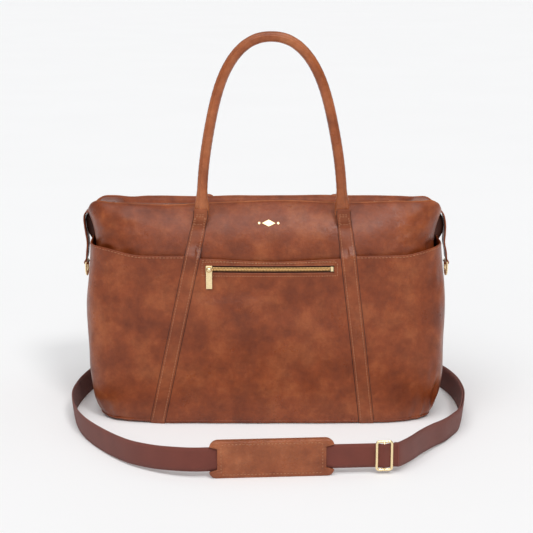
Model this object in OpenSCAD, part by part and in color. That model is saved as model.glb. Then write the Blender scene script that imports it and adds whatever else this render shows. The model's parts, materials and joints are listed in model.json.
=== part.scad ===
// Leather weekender bag with two rolled handles, slip pockets, zips, hanging side rings and a
// detached webbing shoulder strap. The frame's origin is the middle of the bag on the floor,
// +Z is up, the front faces -Y and +X is to the right. Millimetres and degrees.

/* [Body] */
// Width of the lower shell
bag_width = 504; // [496:2:512]
// Depth of the lower shell, front to back
bag_depth = 214; // [210:1:216]
// Height of the slip pockets' rim above the floor
rim_height = 243; // [240:1:245]
// Height of the front and back top edges above the floor
crest_height = 296; // [294:1:298]
// Radius of the upright corners
corner_radius = 58; // [50:1:64]
// Thickness of a leather wall with its backing
wall = 3; // [2.6:0.1:3.2]
// Clear width of the slip pockets between the two leather layers
pocket_gap = 8; // [7.5:0.5:9]
// Height of the metal feet
foot_height = 3; // [3:0.5:6]

/* [Bands] */
// Width of the long leather bands
band_width = 20; // [16:1:24]
// Thickness of the bands
band_thickness = 2; // [1.5:0.1:2.2]
// Distance between the feet of the two front bands
band_foot_span = 288; // [270:2:300]

/* [Handles] */
// Distance between the two legs of a handle, centre to centre
handle_span = 191; // [185:1:196]
// Height of a handle above its fold line
handle_rise = 239; // [220:1:250]
// Diameter of the rolled leather
handle_diameter = 14; // [12:0.5:14]

/* [Front zip] */
// Length of the zip's window
zip_window = 178; // [160:2:184]
// Height of the zip above the floor
zip_height = 217; // [210:1:222]

/* [Strap] */
// Width of the strap's webbing
webbing_width = 31; // [28:1:31]
// Thickness of the webbing
webbing_thickness = 2.2; // [1.8:0.1:2.4]
// Length of the shoulder pad
pad_length = 156; // [140:2:158]
// Height of the shoulder pad as it stands on edge
pad_width = 48.4; // [46:0.2:49]

/* [Hidden] */
$fn = 32;

reach = 700;                        // longer than the bag, for cutting prisms
half_w = bag_width / 2;
half_d = bag_depth / 2;
body_inset = wall + pocket_gap;     // from the lower shell's face in to the body's face
body_d = half_d - body_inset;       // the body's face, front and back
floor_z = foot_height + wall;       // top of the base leather
tuck_height = 20;                   // the lower shell runs straight above this height
end_tuck = 11;                      // how far each end draws in at the floor
face_tuck = 6;                      // how far front and back draw in at the floor
seam_x = 185;                       // upright seams between the panels and the end gussets
shoulder_z = 284;                   // where the sloping top of the body turns over
shoulder_d = body_d - 11;
crest_d = 60;                       // half the distance between the top edges
end_slope_z = 272;                  // where the gussets start to lean in
end_slope = 12;
arc_steps = 6;

leather = "sienna";
dark_leather = "saddlebrown";
brass = "goldenrod";
cloth = "tan";

// Zip sizes
zip_x = 4.5;                        // middle of the front window
window_height = 12;
teeth_half = 2.6;
tape_half = 10;
main_zip_z = 284.2;
main_zip_length = 388;
slider_rest_x = 176;                // main slider, closed at the right-hand end
front_slider_x = -78;               // front slider, closed at the left-hand end
pull_length = 24;
pull_width = 8.5;

// Handle fold lines
handle_x = 7.5;
handle_y = 90;
handle_z = 290;
handle_drop = 147;                  // from standing up to hanging outwards
superellipse = 2 / 2.25;
handle_rings = 26;
handle_sides = 10;
core_radius = handle_diameter / 2 - 2.7;
tunnel_radius = core_radius + 0.3;

// Side tabs and rings
tab_x = 253.9;
tab_z = 274;
ring_x = 256;
ring_z = 206;
ring_wire = 1.6;
ring_radius = 13;

// Strap: a straight stretch in front carries the pad and the adjuster
line_angle = 4.25;
line_y = -327.7;
pad_x = 6.5;
adjuster_x = 147;
line_base = 8.9;                    // lower edge of the webbing on the straight stretch
function on_line(x) = [x, line_y + x * tan(line_angle), line_base];
end_base = 4.2;                     // lower edge of the webbing at the two hooks
left_end = [-160, 172, end_base];
right_end = [175, 172, end_base];
// Points are [x, y, lower edge], from the left hook round the front to the right hook
strap_route = [
    left_end, [-182, 172, end_base], [-208, 160, 2.5], [-231, 135, 1], [-247, 98, 0.5],
    [-259, 50, 0.5], [-268, -5, 0.5], [-270, -62, 0.5], [-261, -120, 0.5], [-243, -178, 1],
    [-213, -235, 1.5], [-178, -283, 3], [-145, -312, 5.5], [-115, -328.5, 8],
    on_line(-90), on_line(-60), on_line(0), on_line(60), on_line(110), on_line(135), on_line(160),
    on_line(166), [176, -301, 8], [187, -282, 7], [200, -256, 5.5], [218, -224, 3.5], [237, -195, 2],
    [252, -165, 1.2], [261, -143, 0.8], [270, -100, 0.5], [276, -50, 0.5], [274, 8, 0.5],
    [264, 58, 0.5], [249, 102, 0.5], [228, 138, 1], [205, 163, 3], [194, 172, end_base], right_end
];
return_start = 20;                  // the doubled webbing starts at this point of the route
return_offset = webbing_thickness + 0.3;

// ---- Outlines and prisms ----

// Points of a circular arc, given its centre, radius and first angle, a quarter turn long
function quarter(cx, cy, r, start) =
    [for (i = [0:arc_steps]) [cx + r * cos(start + 90 * i / arc_steps),
                              cy + r * sin(start + 90 * i / arc_steps)]];

function rounded_outline(w, d, r) = concat(
    quarter(w - r, d - r, r, 0), quarter(r - w, d - r, r, 90),
    quarter(r - w, r - d, r, 180), quarter(w - r, r - d, r, 270));

// A closed outline from rows of [half size, height], mirrored about the middle
function both_sides(rows, inset) = concat(
    [for (r = rows) [r[0] - inset, r[1]]],
    [for (i = [len(rows) - 1:-1:0]) [inset - rows[i][0], rows[i][1]]]);

module prism_x(outline, length = reach) {
    rotate([90, 0, 90]) linear_extrude(length, center = true) polygon(outline);
}

module prism_y(outline, length = reach) {
    rotate([90, 0, 0]) linear_extrude(length, center = true) polygon(outline);
}

shell_ends = [[half_w - end_tuck, 0], [half_w, tuck_height], [half_w, reach]];
shell_faces = [[half_d - face_tuck, 0], [half_d, tuck_height], [half_d, reach]];

body_w = half_w - body_inset;
body_ends = [[body_w, 0], [body_w, end_slope_z],
             [body_w - end_slope, crest_height], [body_w - end_slope, reach]];
body_faces = [[body_d, 0], [body_d, rim_height],
              [shoulder_d, shoulder_z], [crest_d, crest_height], [crest_d, reach]];

// The lower shell's space between two heights, drawn in by inset
module shell_form(inset, low, high) {
    intersection() {
        prism_y(both_sides(shell_ends, inset));
        prism_x(both_sides(shell_faces, inset));
        translate([0, 0, low]) linear_extrude(high - low)
            polygon(rounded_outline(half_w - inset, half_d - inset, corner_radius - inset));
    }
}

// The body's space between two heights, drawn in by inset
module body_form(inset, low, high) {
    intersection() {
        prism_y(both_sides(body_ends, inset));
        prism_x(both_sides(body_faces, inset));
        translate([0, 0, low]) linear_extrude(high - low)
            polygon(rounded_outline(body_w - inset, body_d - inset,
                                    corner_radius - body_inset - inset));
    }
}

module body_wall() {
    difference() {
        body_form(0, floor_z, crest_height);
        body_form(wall, floor_z - 1, crest_height + 1);
    }
}

module shell_wall() {
    difference() {
        shell_form(0, floor_z, rim_height);
        shell_form(wall, floor_z - 1, rim_height + 1);
    }
}

// A block from one corner to the other
module block(low, high) {
    translate(low) cube(high - low);
}

module x_rod(r, x0, x1, y = 0, z = 0) {
    translate([x0, y, z]) rotate([0, 90, 0]) cylinder(r = r, h = x1 - x0);
}

module y_rod(r, y0, y1, x = 0, z = 0) {
    translate([x, y0, z]) rotate([-90, 0, 0]) cylinder(r = r, h = y1 - y0);
}

// ---- Band lines: each band runs from under a handle's leg down and outwards to the base ----

band_top_z = 279;
function band_top_x(side) = handle_x + side * (handle_span / 2 + 3);
band_foot_shift = -6;               // the two front feet stand a little to the left
function band_foot_x(side) = side * band_foot_span / 2 + band_foot_shift;
function band_x(side, z) = band_foot_x(side)
    + (band_top_x(side) - band_foot_x(side)) * (z - floor_z) / (band_top_z - floor_z);

// The slanting strip of a band as seen from the front, margin wider on each side
module band_strip(side, margin = 0) {
    half = band_width / 2 + margin;
    low = band_x(side, 0);
    high = band_x(side, crest_height);
    prism_y([[low - half, 0], [low + half, 0], [high + half, crest_height],
             [high - half, crest_height]]);
}

// Everything between the middles of the two bands, drawn in by margin
module between_bands(margin = 0) {
    prism_y([[band_x(-1, 0) + margin, 0], [band_x(1, 0) - margin, 0],
             [band_x(1, crest_height) - margin, crest_height],
             [band_x(-1, crest_height) + margin, crest_height]]);
}

// Outline of a band from the side, for the front (face = -1) or the back (face = 1)
function band_side(face) = [
    [face * half_d, floor_z],
    [face * (half_d + band_thickness), floor_z],
    [face * (half_d + band_thickness), rim_height + 2],
    [face * (shoulder_d + 2.5), band_top_z],
    [face * (body_d - (body_d - shoulder_d) * (band_top_z - rim_height) / (shoulder_z - rim_height)),
     band_top_z],
    [face * body_d, rim_height],
    [face * half_d, rim_height]
];

module band(side, face) {
    color(leather) intersection() {
        prism_x(band_side(face));
        band_strip(side);
    }
}

// Front or back half of space
module half_space(face) {
    translate([-reach / 2, face > 0 ? 0 : -reach, -1]) cube([reach, reach, reach]);
}

// ---- Base ----

module base_plate(w, d, r, low, high) {
    translate([0, 0, low]) linear_extrude(high - low) polygon(rounded_outline(w, d, r));
}

foot_spots = [[-190, -72], [190, -72], [-190, 72], [190, 72]];
rivet_radius = 2;

module at_feet() {
    for (spot = foot_spots) translate([spot[0], spot[1], 0]) children();
}

module base_panel() {
    color(leather) difference() {
        shell_form(0, foot_height, floor_z);
        at_feet() cylinder(r = rivet_radius + 0.1, h = 3 * floor_z);
    }
}

board_height = 2;
board_margin = 4;

module base_board() {
    color("dimgray") difference() {
        base_plate(body_w - wall - board_margin, body_d - wall - board_margin,
                   corner_radius - body_inset - wall, floor_z, floor_z + board_height);
        at_feet() cylinder(r = rivet_radius + 0.1, h = 3 * floor_z);
    }
}

module base_feet() {
    color(brass) at_feet() {
        cylinder(r = 7, h = foot_height);
        cylinder(r = rivet_radius, h = floor_z + board_height);
    }
}

// ---- Body and pockets ----

module body_panel(face) {
    color(leather) intersection() {
        body_wall();
        translate([-seam_x, 0, 0]) mirror([0, face > 0 ? 0 : 1, 0]) cube([2 * seam_x, reach, reach]);
    }
}

module front_body_panel() { body_panel(-1); }
module back_body_panel() { body_panel(1); }

wing_root = [236, 251.5];
tab_half = 13;

module side_gusset(side) {
    color(leather) mirror([side > 0 ? 0 : 1, 0, 0]) {
        intersection() {
            body_wall();
            translate([seam_x, -reach / 2, 0]) cube(reach);
        }
        difference() {
            block([wing_root[0], -tab_half, 270], [wing_root[1], tab_half, 276]);
            body_form(wall, floor_z, crest_height + 1);
        }
    }
}

module side_gusset_left() { side_gusset(-1); }
module side_gusset_right() { side_gusset(1); }

// Turned seam allowances that join the two leather layers under the bands
module pocket_lips(face) {
    intersection() {
        difference() {
            shell_form(wall, floor_z, rim_height);
            body_form(0, floor_z - 1, rim_height + 1);
        }
        half_space(face);
        union() {
            band_strip(-1, -4);
            band_strip(1, -4);
        }
    }
}

module front_pocket_panel() {
    color(leather) {
        difference() {
            intersection() {
                shell_wall();
                between_bands();
                half_space(-1);
            }
            translate([zip_x - zip_window / 2 - 1, -reach / 2, zip_height - window_height / 2 - 1])
                cube([zip_window + 2, reach, window_height + 2]);
        }
        pocket_lips(-1);
    }
}

module back_pocket_panel() {
    color(leather) {
        intersection() {
            shell_wall();
            between_bands();
            half_space(1);
        }
        pocket_lips(1);
    }
}

module end_pocket(side) {
    color(leather) difference() {
        intersection() {
            shell_wall();
            translate([side > 0 ? 0 : -reach, -reach / 2, 0]) cube(reach);
        }
        between_bands();
    }
}

module end_pocket_left() { end_pocket(-1); }
module end_pocket_right() { end_pocket(1); }

module band_front_left() { band(-1, -1); }
module band_front_right() { band(1, -1); }
module band_back_left() { band(-1, 1); }
module band_back_right() { band(1, 1); }

// ---- Top and main zip ----

facing_edge = 14;

// Leather from a top edge in to the zip, which it closes off beyond the zip's ends
module top_facing(face) {
    edge = crest_d - wall;
    seam = 0.1;
    color(leather) intersection() {
        union() {
            prism_x([[face * edge, crest_height], [face * edge, crest_height - wall],
                     [face * facing_edge, main_zip_z - 1], [face * facing_edge, main_zip_z + 1.8]]);
            mirror([0, face > 0 ? 0 : 1, 0]) for (side = [-1, 1]) mirror([side > 0 ? 0 : 1, 0, 0])
                block([main_zip_length / 2, seam, main_zip_z - 1], [reach, facing_edge, main_zip_z + 1.8]);
        }
        body_form(wall, floor_z, crest_height + 1);
    }
}

module top_facing_front() { top_facing(-1); }
module top_facing_back() { top_facing(1); }

module main_zip_tapes() {
    color("saddlebrown") for (side = [-1, 1])
        mirror([0, side > 0 ? 0 : 1, 0])
            block([-main_zip_length / 2, 3, main_zip_z], [main_zip_length / 2, facing_edge, main_zip_z + 1.2]);
}

module main_zip_teeth() {
    color(brass) block([-main_zip_length / 2 + 8, -3, main_zip_z - 0.6],
                       [main_zip_length / 2 - 8, 3, main_zip_z + 1.8]);
}

module main_zip_stops() {
    color(brass) for (side = [-1, 1])
        mirror([side > 0 ? 0 : 1, 0, 0])
            block([main_zip_length / 2 - 8, -3, main_zip_z - 0.8],
                  [main_zip_length / 2 - 4, 3, main_zip_z + 2.2]);
}

stud_radius = 1.5;
slider_z = main_zip_z + 2.1;
main_hinge_z = slider_z + 4.6;

module main_zip_slider() {
    color(brass) {
        block([slider_rest_x - 6, -4.5, slider_z], [slider_rest_x + 6, 4.5, slider_z + 2.2]);
        for (side = [-1, 1]) mirror([0, side > 0 ? 0 : 1, 0])
            block([slider_rest_x - 2, 3, slider_z], [slider_rest_x + 2, 4.5, main_hinge_z + 1.8]);
        y_rod(stud_radius, -4, 4, slider_rest_x, main_hinge_z);
    }
}

module main_zip_pull() {
    color(brass) difference() {
        union() {
            y_rod(2.2, -2.6, 2.6, slider_rest_x, main_hinge_z);
            block([slider_rest_x - 8, -2.6, main_hinge_z - 1], [slider_rest_x, 2.6, main_hinge_z + 1]);
            block([slider_rest_x - pull_length, -pull_width / 2, main_hinge_z - 1],
                  [slider_rest_x - 7, pull_width / 2, main_hinge_z + 1]);
        }
        y_rod(stud_radius + 0.06, -5, 5, slider_rest_x, main_hinge_z);
    }
}

// ---- Front zip, on the front pocket ----

// A frame round a window in the front face, from depth y0 to y1
module front_frame(outer, inner, y0, y1) {
    difference() {
        block([zip_x - outer[0] / 2, y0, zip_height - outer[1] / 2],
              [zip_x + outer[0] / 2, y1, zip_height + outer[1] / 2]);
        block([zip_x - inner[0] / 2, y0 - 1, zip_height - inner[1] / 2],
              [zip_x + inner[0] / 2, y1 + 1, zip_height + inner[1] / 2]);
    }
}

teeth_x = [zip_x - zip_window / 2 + 3, zip_x + zip_window / 2 - 6];
face_in = -half_d + wall;           // inner side of the front pocket's leather

module front_zip_welt() {
    color(dark_leather) front_frame([zip_window + 2, window_height + 2], [zip_window, window_height],
                                    -half_d - 0.4, face_in);
}

module front_zip_tapes() {
    color("saddlebrown") for (side = [-1, 1])
        translate([0, 0, zip_height]) mirror([0, 0, side > 0 ? 0 : 1])
            block([zip_x - zip_window / 2 - 4, face_in, teeth_half],
                  [zip_x + zip_window / 2 + 4, face_in + 0.8, tape_half]);
}

module front_zip_teeth() {
    color(brass) block([teeth_x[0], face_in - 1.6, zip_height - teeth_half],
                       [teeth_x[1], face_in + 0.8, zip_height + teeth_half]);
}

stop_y = face_in - 1.7;
stop_half = 3.2;

module front_zip_stops() {
    color(brass) {
        block([teeth_x[1], stop_y, zip_height - stop_half], [teeth_x[1] + 4, face_in, zip_height + stop_half]);
        block([teeth_x[0] - 2.5, stop_y, zip_height - stop_half], [teeth_x[0], face_in, zip_height + stop_half]);
    }
}

module front_zip_pouch() {
    color(cloth) block([zip_x - zip_window / 2 - 5, face_in + 0.8, 96],
                       [zip_x + zip_window / 2 + 5, face_in + 3.2, zip_height + 12]);
}

stud_y = -half_d - 1.4;

module front_zip_slider() {
    color(brass) {
        block([front_slider_x - 4.5, stud_y, zip_height - 5.2],
              [front_slider_x + 4.5, face_in - 1.9, zip_height + 5.2]);
        y_rod(stud_radius, stud_y - 4.2, stud_y + 1, front_slider_x, zip_height);
        y_rod(3, stud_y - 5.6, stud_y - 3.6, front_slider_x, zip_height);
    }
}

module front_zip_pull() {
    back = stud_y - 0.8;
    front = stud_y - 3;
    color(brass) difference() {
        union() {
            y_rod(3.6, front, back, front_slider_x, zip_height);
            block([front_slider_x - 1.8, front, zip_height - 8], [front_slider_x + 1.8, back, zip_height]);
            block([front_slider_x - pull_width / 2, front, zip_height - pull_length - 3],
                  [front_slider_x + pull_width / 2, back, zip_height - 6]);
        }
        y_rod(stud_radius + 0.06, front - 1, back + 1, front_slider_x, zip_height);
    }
}

// ---- Inside ----

lining_thickness = 1.2;
lining_top = main_zip_z - 6;

module lining() {
    color(cloth) difference() {
        body_form(wall, floor_z + board_height, lining_top);
        body_form(wall + lining_thickness, floor_z + board_height + lining_thickness, lining_top + 1);
    }
}

inner_pocket_size = [210, 140];
inner_pocket_z = 80;
inner_gap = 5;

// A flat pocket sewn to the lining's back wall on three sides
module inner_pocket() {
    y1 = body_d - wall - lining_thickness;
    y0 = y1 - inner_gap - lining_thickness;
    half = inner_pocket_size[0] / 2;
    color(cloth) difference() {
        block([-half, y0, inner_pocket_z], [half, y1, inner_pocket_z + inner_pocket_size[1]]);
        block([-half + 3, y0 + lining_thickness, inner_pocket_z + 3],
              [half - 3, y1 + 1, inner_pocket_z + inner_pocket_size[1] + 1]);
    }
}

mark_z = 277;
face_lean = atan((body_d - shoulder_d) / (shoulder_z - rim_height));

// A plain foil lozenge between two dots, on the sloping front above the pocket
module foil_mark() {
    y = body_d - (mark_z - rim_height) * tan(face_lean);
    color(brass) translate([3, -y, mark_z]) rotate([-face_lean, 0, 0]) rotate([90, 0, 0])
        linear_extrude(0.3) {
            polygon([[-9, 0], [0, 4.5], [9, 0], [0, -4.5]]);
            for (side = [-1, 1]) translate([13 * side, 0]) circle(r = 1.4);
        }
}

// ---- Side tabs and rings ----

module wing_tab(side) {
    top = tab_z + 1.3;
    color(leather) mirror([side > 0 ? 0 : 1, 0, 0]) difference() {
        union() {
            translate([tab_x - 1.5, 0, 0]) rotate([90, 0, 90]) linear_extrude(wall)
                polygon([[-tab_half, top], [tab_half, top], [tab_half, 214], [10, 210],
                         [10, ring_z], [-10, ring_z], [-10, 210], [-tab_half, 214]]);
            y_rod(3.3, -10, 10, ring_x, ring_z);
        }
        y_rod(ring_wire + 0.06, -tab_half, tab_half, ring_x, ring_z);
    }
}

module wing_tab_left() { wing_tab(-1); }
module wing_tab_right() { wing_tab(1); }

module d_ring(side) {
    drop = 6;
    color(brass) mirror([side > 0 ? 0 : 1, 0, 0]) {
        y_rod(ring_wire, -ring_radius, ring_radius, ring_x, ring_z);
        for (y = [-ring_radius, ring_radius]) {
            translate([ring_x, y, ring_z - drop]) cylinder(r = ring_wire, h = drop);
            translate([ring_x, y, ring_z]) sphere(r = ring_wire);
        }
        translate([ring_x, 0, ring_z - drop]) rotate([90, 0, 90]) rotate([0, 0, 180])
            rotate_extrude(angle = 180) translate([ring_radius, 0]) circle(r = ring_wire);
    }
}

module d_ring_left() { d_ring(-1); }
module d_ring_right() { d_ring(1); }

// ---- Handles ----

function signed_power(v, p) = sign(v) * pow(abs(v), p);

// Middle line of a handle, standing up from its fold line, at angle t along the arch
function handle_point(t) = [handle_span / 2 * signed_power(cos(t), superellipse),
                            handle_rise * signed_power(sin(t), superellipse)];

// Direction of the middle line, as an angle from +X
function handle_heading(t) =
    t <= 0 ? 90 :
    t >= 180 ? -90 :
    let (a = handle_point(t - 1), b = handle_point(t + 1)) atan2(b[1] - a[1], b[0] - a[0]);

// One ring of points round the middle line
function handle_ring(t, r) =
    let (c = handle_point(t), h = handle_heading(t))
    [for (k = [0:handle_sides - 1])
        let (a = 360 * k / handle_sides)
        [c[0] + r * cos(a) * sin(h), r * sin(a), c[1] - r * cos(a) * cos(h)]];

function ring_faces(rings, n, start, flip) =
    [for (i = [0:rings - 2]) for (k = [0:n - 1])
        let (a = start + i * n + k, b = start + i * n + (k + 1) % n)
        flip ? [a, a + n, b + n, b] : [a, b, b + n, a + n]];

module handle_solid(r) {
    points = [for (i = [0:handle_rings]) for (p = handle_ring(180 * i / handle_rings, r)) p];
    last = handle_rings * handle_sides;
    polyhedron(points, concat(
        ring_faces(handle_rings + 1, handle_sides, 0, true),
        [[for (k = [0:handle_sides - 1]) k]],
        [[for (k = [handle_sides - 1:-1:0]) last + k]]));
}

// A tube has an outer and an inner surface, joined by a ring of faces at each end
module handle_tube(r_out, r_in) {
    n = handle_sides;
    outer = [for (i = [0:handle_rings]) for (p = handle_ring(180 * i / handle_rings, r_out)) p];
    inner = [for (i = [0:handle_rings]) for (p = handle_ring(180 * i / handle_rings, r_in)) p];
    start = len(outer);
    last = handle_rings * n;
    polyhedron(concat(outer, inner), concat(
        ring_faces(handle_rings + 1, n, 0, true),
        ring_faces(handle_rings + 1, n, start, false),
        [for (k = [0:n - 1]) [k, (k + 1) % n, start + (k + 1) % n, start + k]],
        [for (k = [0:n - 1])
            [last + (k + 1) % n, last + k, start + last + k, start + last + (k + 1) % n]]));
}

// Puts a handle on the front, standing up, or on the back, hanging outwards
module place_handle(face) {
    translate([handle_x, face * handle_y, handle_z]) rotate([face > 0 ? -handle_drop : 0, 0, 0])
        children();
}

module handle_cover(face) {
    color(leather) place_handle(face) handle_tube(handle_diameter / 2, tunnel_radius);
}

module handle_core(face) {
    color("wheat") place_handle(face) handle_solid(core_radius);
}

// Turned-in leather domes that close the two legs
module handle_ends(face) {
    r = handle_diameter / 2 - 0.35;
    color(leather) place_handle(face) for (side = [-1, 1])
        translate([side * handle_span / 2, 0, -0.1])
            rotate_extrude() intersection() {
                circle(r = r);
                translate([0, -r]) square([r, r]);
            }
}

module front_handle_cover() { handle_cover(-1); }
module front_handle_core() { handle_core(-1); }
module front_handle_ends() { handle_ends(-1); }
module back_handle_cover() { handle_cover(1); }
module back_handle_core() { handle_core(1); }
module back_handle_ends() { handle_ends(1); }

// ---- Strap ----

// A point on the smooth curve through the route, between points i and i + 1
function smooth_point(i, t) =
    let (last = len(strap_route) - 1,
         p0 = strap_route[max(0, i - 1)], p1 = strap_route[i],
         p2 = strap_route[min(last, i + 1)], p3 = strap_route[min(last, i + 2)])
    0.5 * (2 * p1 + (p2 - p0) * t + (2 * p0 - 5 * p1 + 4 * p2 - p3) * t * t
           + (3 * p1 - p0 - 3 * p2 + p3) * t * t * t);

function smooth_route(first) = concat(
    [for (i = [first:len(strap_route) - 2]) for (t = [0, 0.5]) smooth_point(i, t)],
    [strap_route[len(strap_route) - 1]]);

// Four corners of the webbing's section at point i of a path, moved sideways by offset
function webbing_ring(path, i, offset) =
    let (a = path[max(0, i - 1)], b = path[min(len(path) - 1, i + 1)],
         length = norm([b[0] - a[0], b[1] - a[1]]),
         side = [(a[1] - b[1]) / length, (b[0] - a[0]) / length],
         near = offset - webbing_thickness / 2, far = offset + webbing_thickness / 2, p = path[i])
    [[p[0] + near * side[0], p[1] + near * side[1], p[2]],
     [p[0] + far * side[0], p[1] + far * side[1], p[2]],
     [p[0] + far * side[0], p[1] + far * side[1], p[2] + webbing_width],
     [p[0] + near * side[0], p[1] + near * side[1], p[2] + webbing_width]];

// Webbing standing on its edge along a path
module ribbon(path, offset) {
    points = [for (i = [0:len(path) - 1]) for (p = webbing_ring(path, i, offset)) p];
    last = 4 * (len(path) - 1);
    color("maroon") polyhedron(points, concat(
        ring_faces(len(path), 4, 0, true),
        [[0, 1, 2, 3]],
        [[last + 3, last + 2, last + 1, last]]));
}

module strap_webbing() { ribbon(smooth_route(0), 0); }
module strap_return() { ribbon(smooth_route(return_start), return_offset); }

// Local frame of the straight stretch: x along the webbing, y to its inner side, z from its middle
module on_strap(x) {
    p = on_line(x);
    translate([p[0], p[1], line_base + webbing_width / 2]) rotate([0, 0, line_angle]) children();
}

slot_clear = 0.4;
pad_front = 3.4;
pad_back = 2.4;

// A plate standing on edge with rounded corners, from depth y0 to y1
module standing_plate(length, height, r, y0, y1) {
    translate([0, y1, 0]) rotate([90, 0, 0]) linear_extrude(y1 - y0)
        polygon(rounded_outline(length / 2, height / 2, r));
}

module strap_pad() {
    y = -webbing_thickness / 2 - slot_clear;
    color(leather) on_strap(pad_x) standing_plate(pad_length - 22, pad_width, 6, y - pad_front, y);
}

module strap_pad_backing() {
    y = webbing_thickness / 2 + slot_clear;
    slot = webbing_width + 2 * slot_clear;
    color(dark_leather) on_strap(pad_x) {
        standing_plate(pad_length, pad_width, 11, y, y + pad_back);
        for (side = [-1, 1]) mirror([0, 0, side > 0 ? 0 : 1])
            block([-pad_length / 2 + 16, -y, slot / 2], [pad_length / 2 - 16, y, pad_width / 2]);
    }
}

adjuster_size = [22, 40];

// A rectangular wire frame with a middle bar, in front of the webbing
module strap_adjuster() {
    wire = 1.5;
    half_x = adjuster_size[0] / 2 - wire;
    half_z = adjuster_size[1] / 2 - wire;
    color(brass) on_strap(adjuster_x) translate([0, -webbing_thickness / 2 - wire - 0.3, 0]) {
        for (x = [-half_x, 0, half_x]) translate([x, 0, -half_z]) cylinder(r = wire, h = 2 * half_z);
        for (z = [-half_z, half_z]) {
            x_rod(wire, -half_x, half_x, 0, z);
            for (x = [-half_x, half_x]) translate([x, 0, z]) sphere(r = wire);
        }
    }
}

// Local frame of a hook: x leads away from the end of the webbing, z from the webbing's middle
module at_hook(side) {
    p = side < 0 ? left_end : right_end;
    translate([p[0], p[1], end_base + webbing_width / 2]) rotate([0, 0, side < 0 ? 0 : 180]) children();
}

eye_height = 19;
hook_radius = 7;
hook_wire = 2.3;
gate_x = 25.5;

module hook_eye(side) {
    color(brass) at_hook(side) difference() {
        union() {
            block([0.3, -1.8, -eye_height], [12, 1.8, eye_height]);
            x_rod(4.6, 11, 17);
        }
        block([3.3, -5, -eye_height + 3], [9, 5, eye_height - 3]);
        x_rod(2.06, 8, 18);
    }
}

module hook_body(side) {
    color(brass) at_hook(side) {
        x_rod(3.2, 6.4, 8.6);
        x_rod(2, 7, 19);
        x_rod(5.2, 17.4, 20);
        block([19, -9, -2.3], [23, 9, 2.3]);
        x_rod(hook_wire, 21, 36, hook_radius);
        translate([36, 0, 0]) rotate([0, 0, -90]) rotate_extrude(angle = 180)
            translate([hook_radius, 0]) circle(r = hook_wire);
        x_rod(hook_wire, 33, 36, -hook_radius);
        for (z = [-2.9, 1.6]) block([21, -9, z], [27.6, -4.8, z + 1.3]);
        translate([gate_x, -hook_radius, -2.9]) cylinder(r = 0.9, h = 5.8);
    }
}

module hook_gate(side) {
    color(brass) at_hook(side) difference() {
        union() {
            translate([gate_x, -hook_radius, -1.4]) cylinder(r = 2, h = 2.8);
            block([gate_x, -hook_radius - 1.5, -1.4], [32.6, -hook_radius + 1.5, 1.4]);
        }
        translate([gate_x, -hook_radius, -3]) cylinder(r = 0.96, h = 6);
    }
}

module hook_eye_left() { hook_eye(-1); }
module hook_body_left() { hook_body(-1); }
module hook_gate_left() { hook_gate(-1); }
module hook_eye_right() { hook_eye(1); }
module hook_body_right() { hook_body(1); }
module hook_gate_right() { hook_gate(1); }

// ---- Assembly ----

base_panel();
base_board();
base_feet();
front_body_panel();
back_body_panel();
side_gusset_left();
side_gusset_right();
front_pocket_panel();
back_pocket_panel();
end_pocket_left();
end_pocket_right();
top_facing_front();
top_facing_back();
main_zip_tapes();
main_zip_teeth();
main_zip_stops();
main_zip_slider();
main_zip_pull();
front_zip_welt();
front_zip_tapes();
front_zip_teeth();
front_zip_stops();
front_zip_pouch();
front_zip_slider();
front_zip_pull();
band_front_left();
band_front_right();
band_back_left();
band_back_right();
lining();
inner_pocket();
foil_mark();
wing_tab_left();
wing_tab_right();
d_ring_left();
d_ring_right();
front_handle_cover();
front_handle_core();
front_handle_ends();
back_handle_cover();
back_handle_core();
back_handle_ends();
strap_webbing();
strap_return();
strap_pad();
strap_pad_backing();
strap_adjuster();
hook_eye_left();
hook_body_left();
hook_gate_left();
hook_eye_right();
hook_body_right();
hook_gate_right();
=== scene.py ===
"""Looks of the leather weekender bag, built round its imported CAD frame. Metres, +Z up, front -Y."""

import json
import math

import bmesh
import bpy
import numpy as np
from mathutils import Matrix, Vector

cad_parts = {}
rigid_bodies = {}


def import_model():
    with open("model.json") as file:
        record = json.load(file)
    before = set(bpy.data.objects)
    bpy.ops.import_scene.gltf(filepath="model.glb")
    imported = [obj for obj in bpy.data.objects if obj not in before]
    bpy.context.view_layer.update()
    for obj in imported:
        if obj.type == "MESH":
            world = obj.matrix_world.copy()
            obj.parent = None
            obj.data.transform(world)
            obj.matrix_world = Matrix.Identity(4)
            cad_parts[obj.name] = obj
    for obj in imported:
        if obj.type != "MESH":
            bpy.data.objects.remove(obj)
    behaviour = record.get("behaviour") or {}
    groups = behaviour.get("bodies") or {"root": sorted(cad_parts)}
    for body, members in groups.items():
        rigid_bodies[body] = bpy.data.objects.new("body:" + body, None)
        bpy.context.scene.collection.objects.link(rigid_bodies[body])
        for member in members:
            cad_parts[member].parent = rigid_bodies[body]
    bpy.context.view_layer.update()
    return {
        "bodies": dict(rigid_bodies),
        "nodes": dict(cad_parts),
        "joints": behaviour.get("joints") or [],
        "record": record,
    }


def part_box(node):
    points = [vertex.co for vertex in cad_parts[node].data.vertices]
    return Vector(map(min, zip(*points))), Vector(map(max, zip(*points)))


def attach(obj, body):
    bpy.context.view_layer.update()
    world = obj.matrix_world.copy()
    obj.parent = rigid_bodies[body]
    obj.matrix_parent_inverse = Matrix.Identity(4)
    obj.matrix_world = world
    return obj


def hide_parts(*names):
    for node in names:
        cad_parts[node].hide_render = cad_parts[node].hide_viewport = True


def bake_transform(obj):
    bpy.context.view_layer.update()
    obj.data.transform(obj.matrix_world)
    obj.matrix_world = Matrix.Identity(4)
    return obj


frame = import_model()
NODES = frame["nodes"]

# ---------------------------------------------------------------- driving sizes

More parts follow.
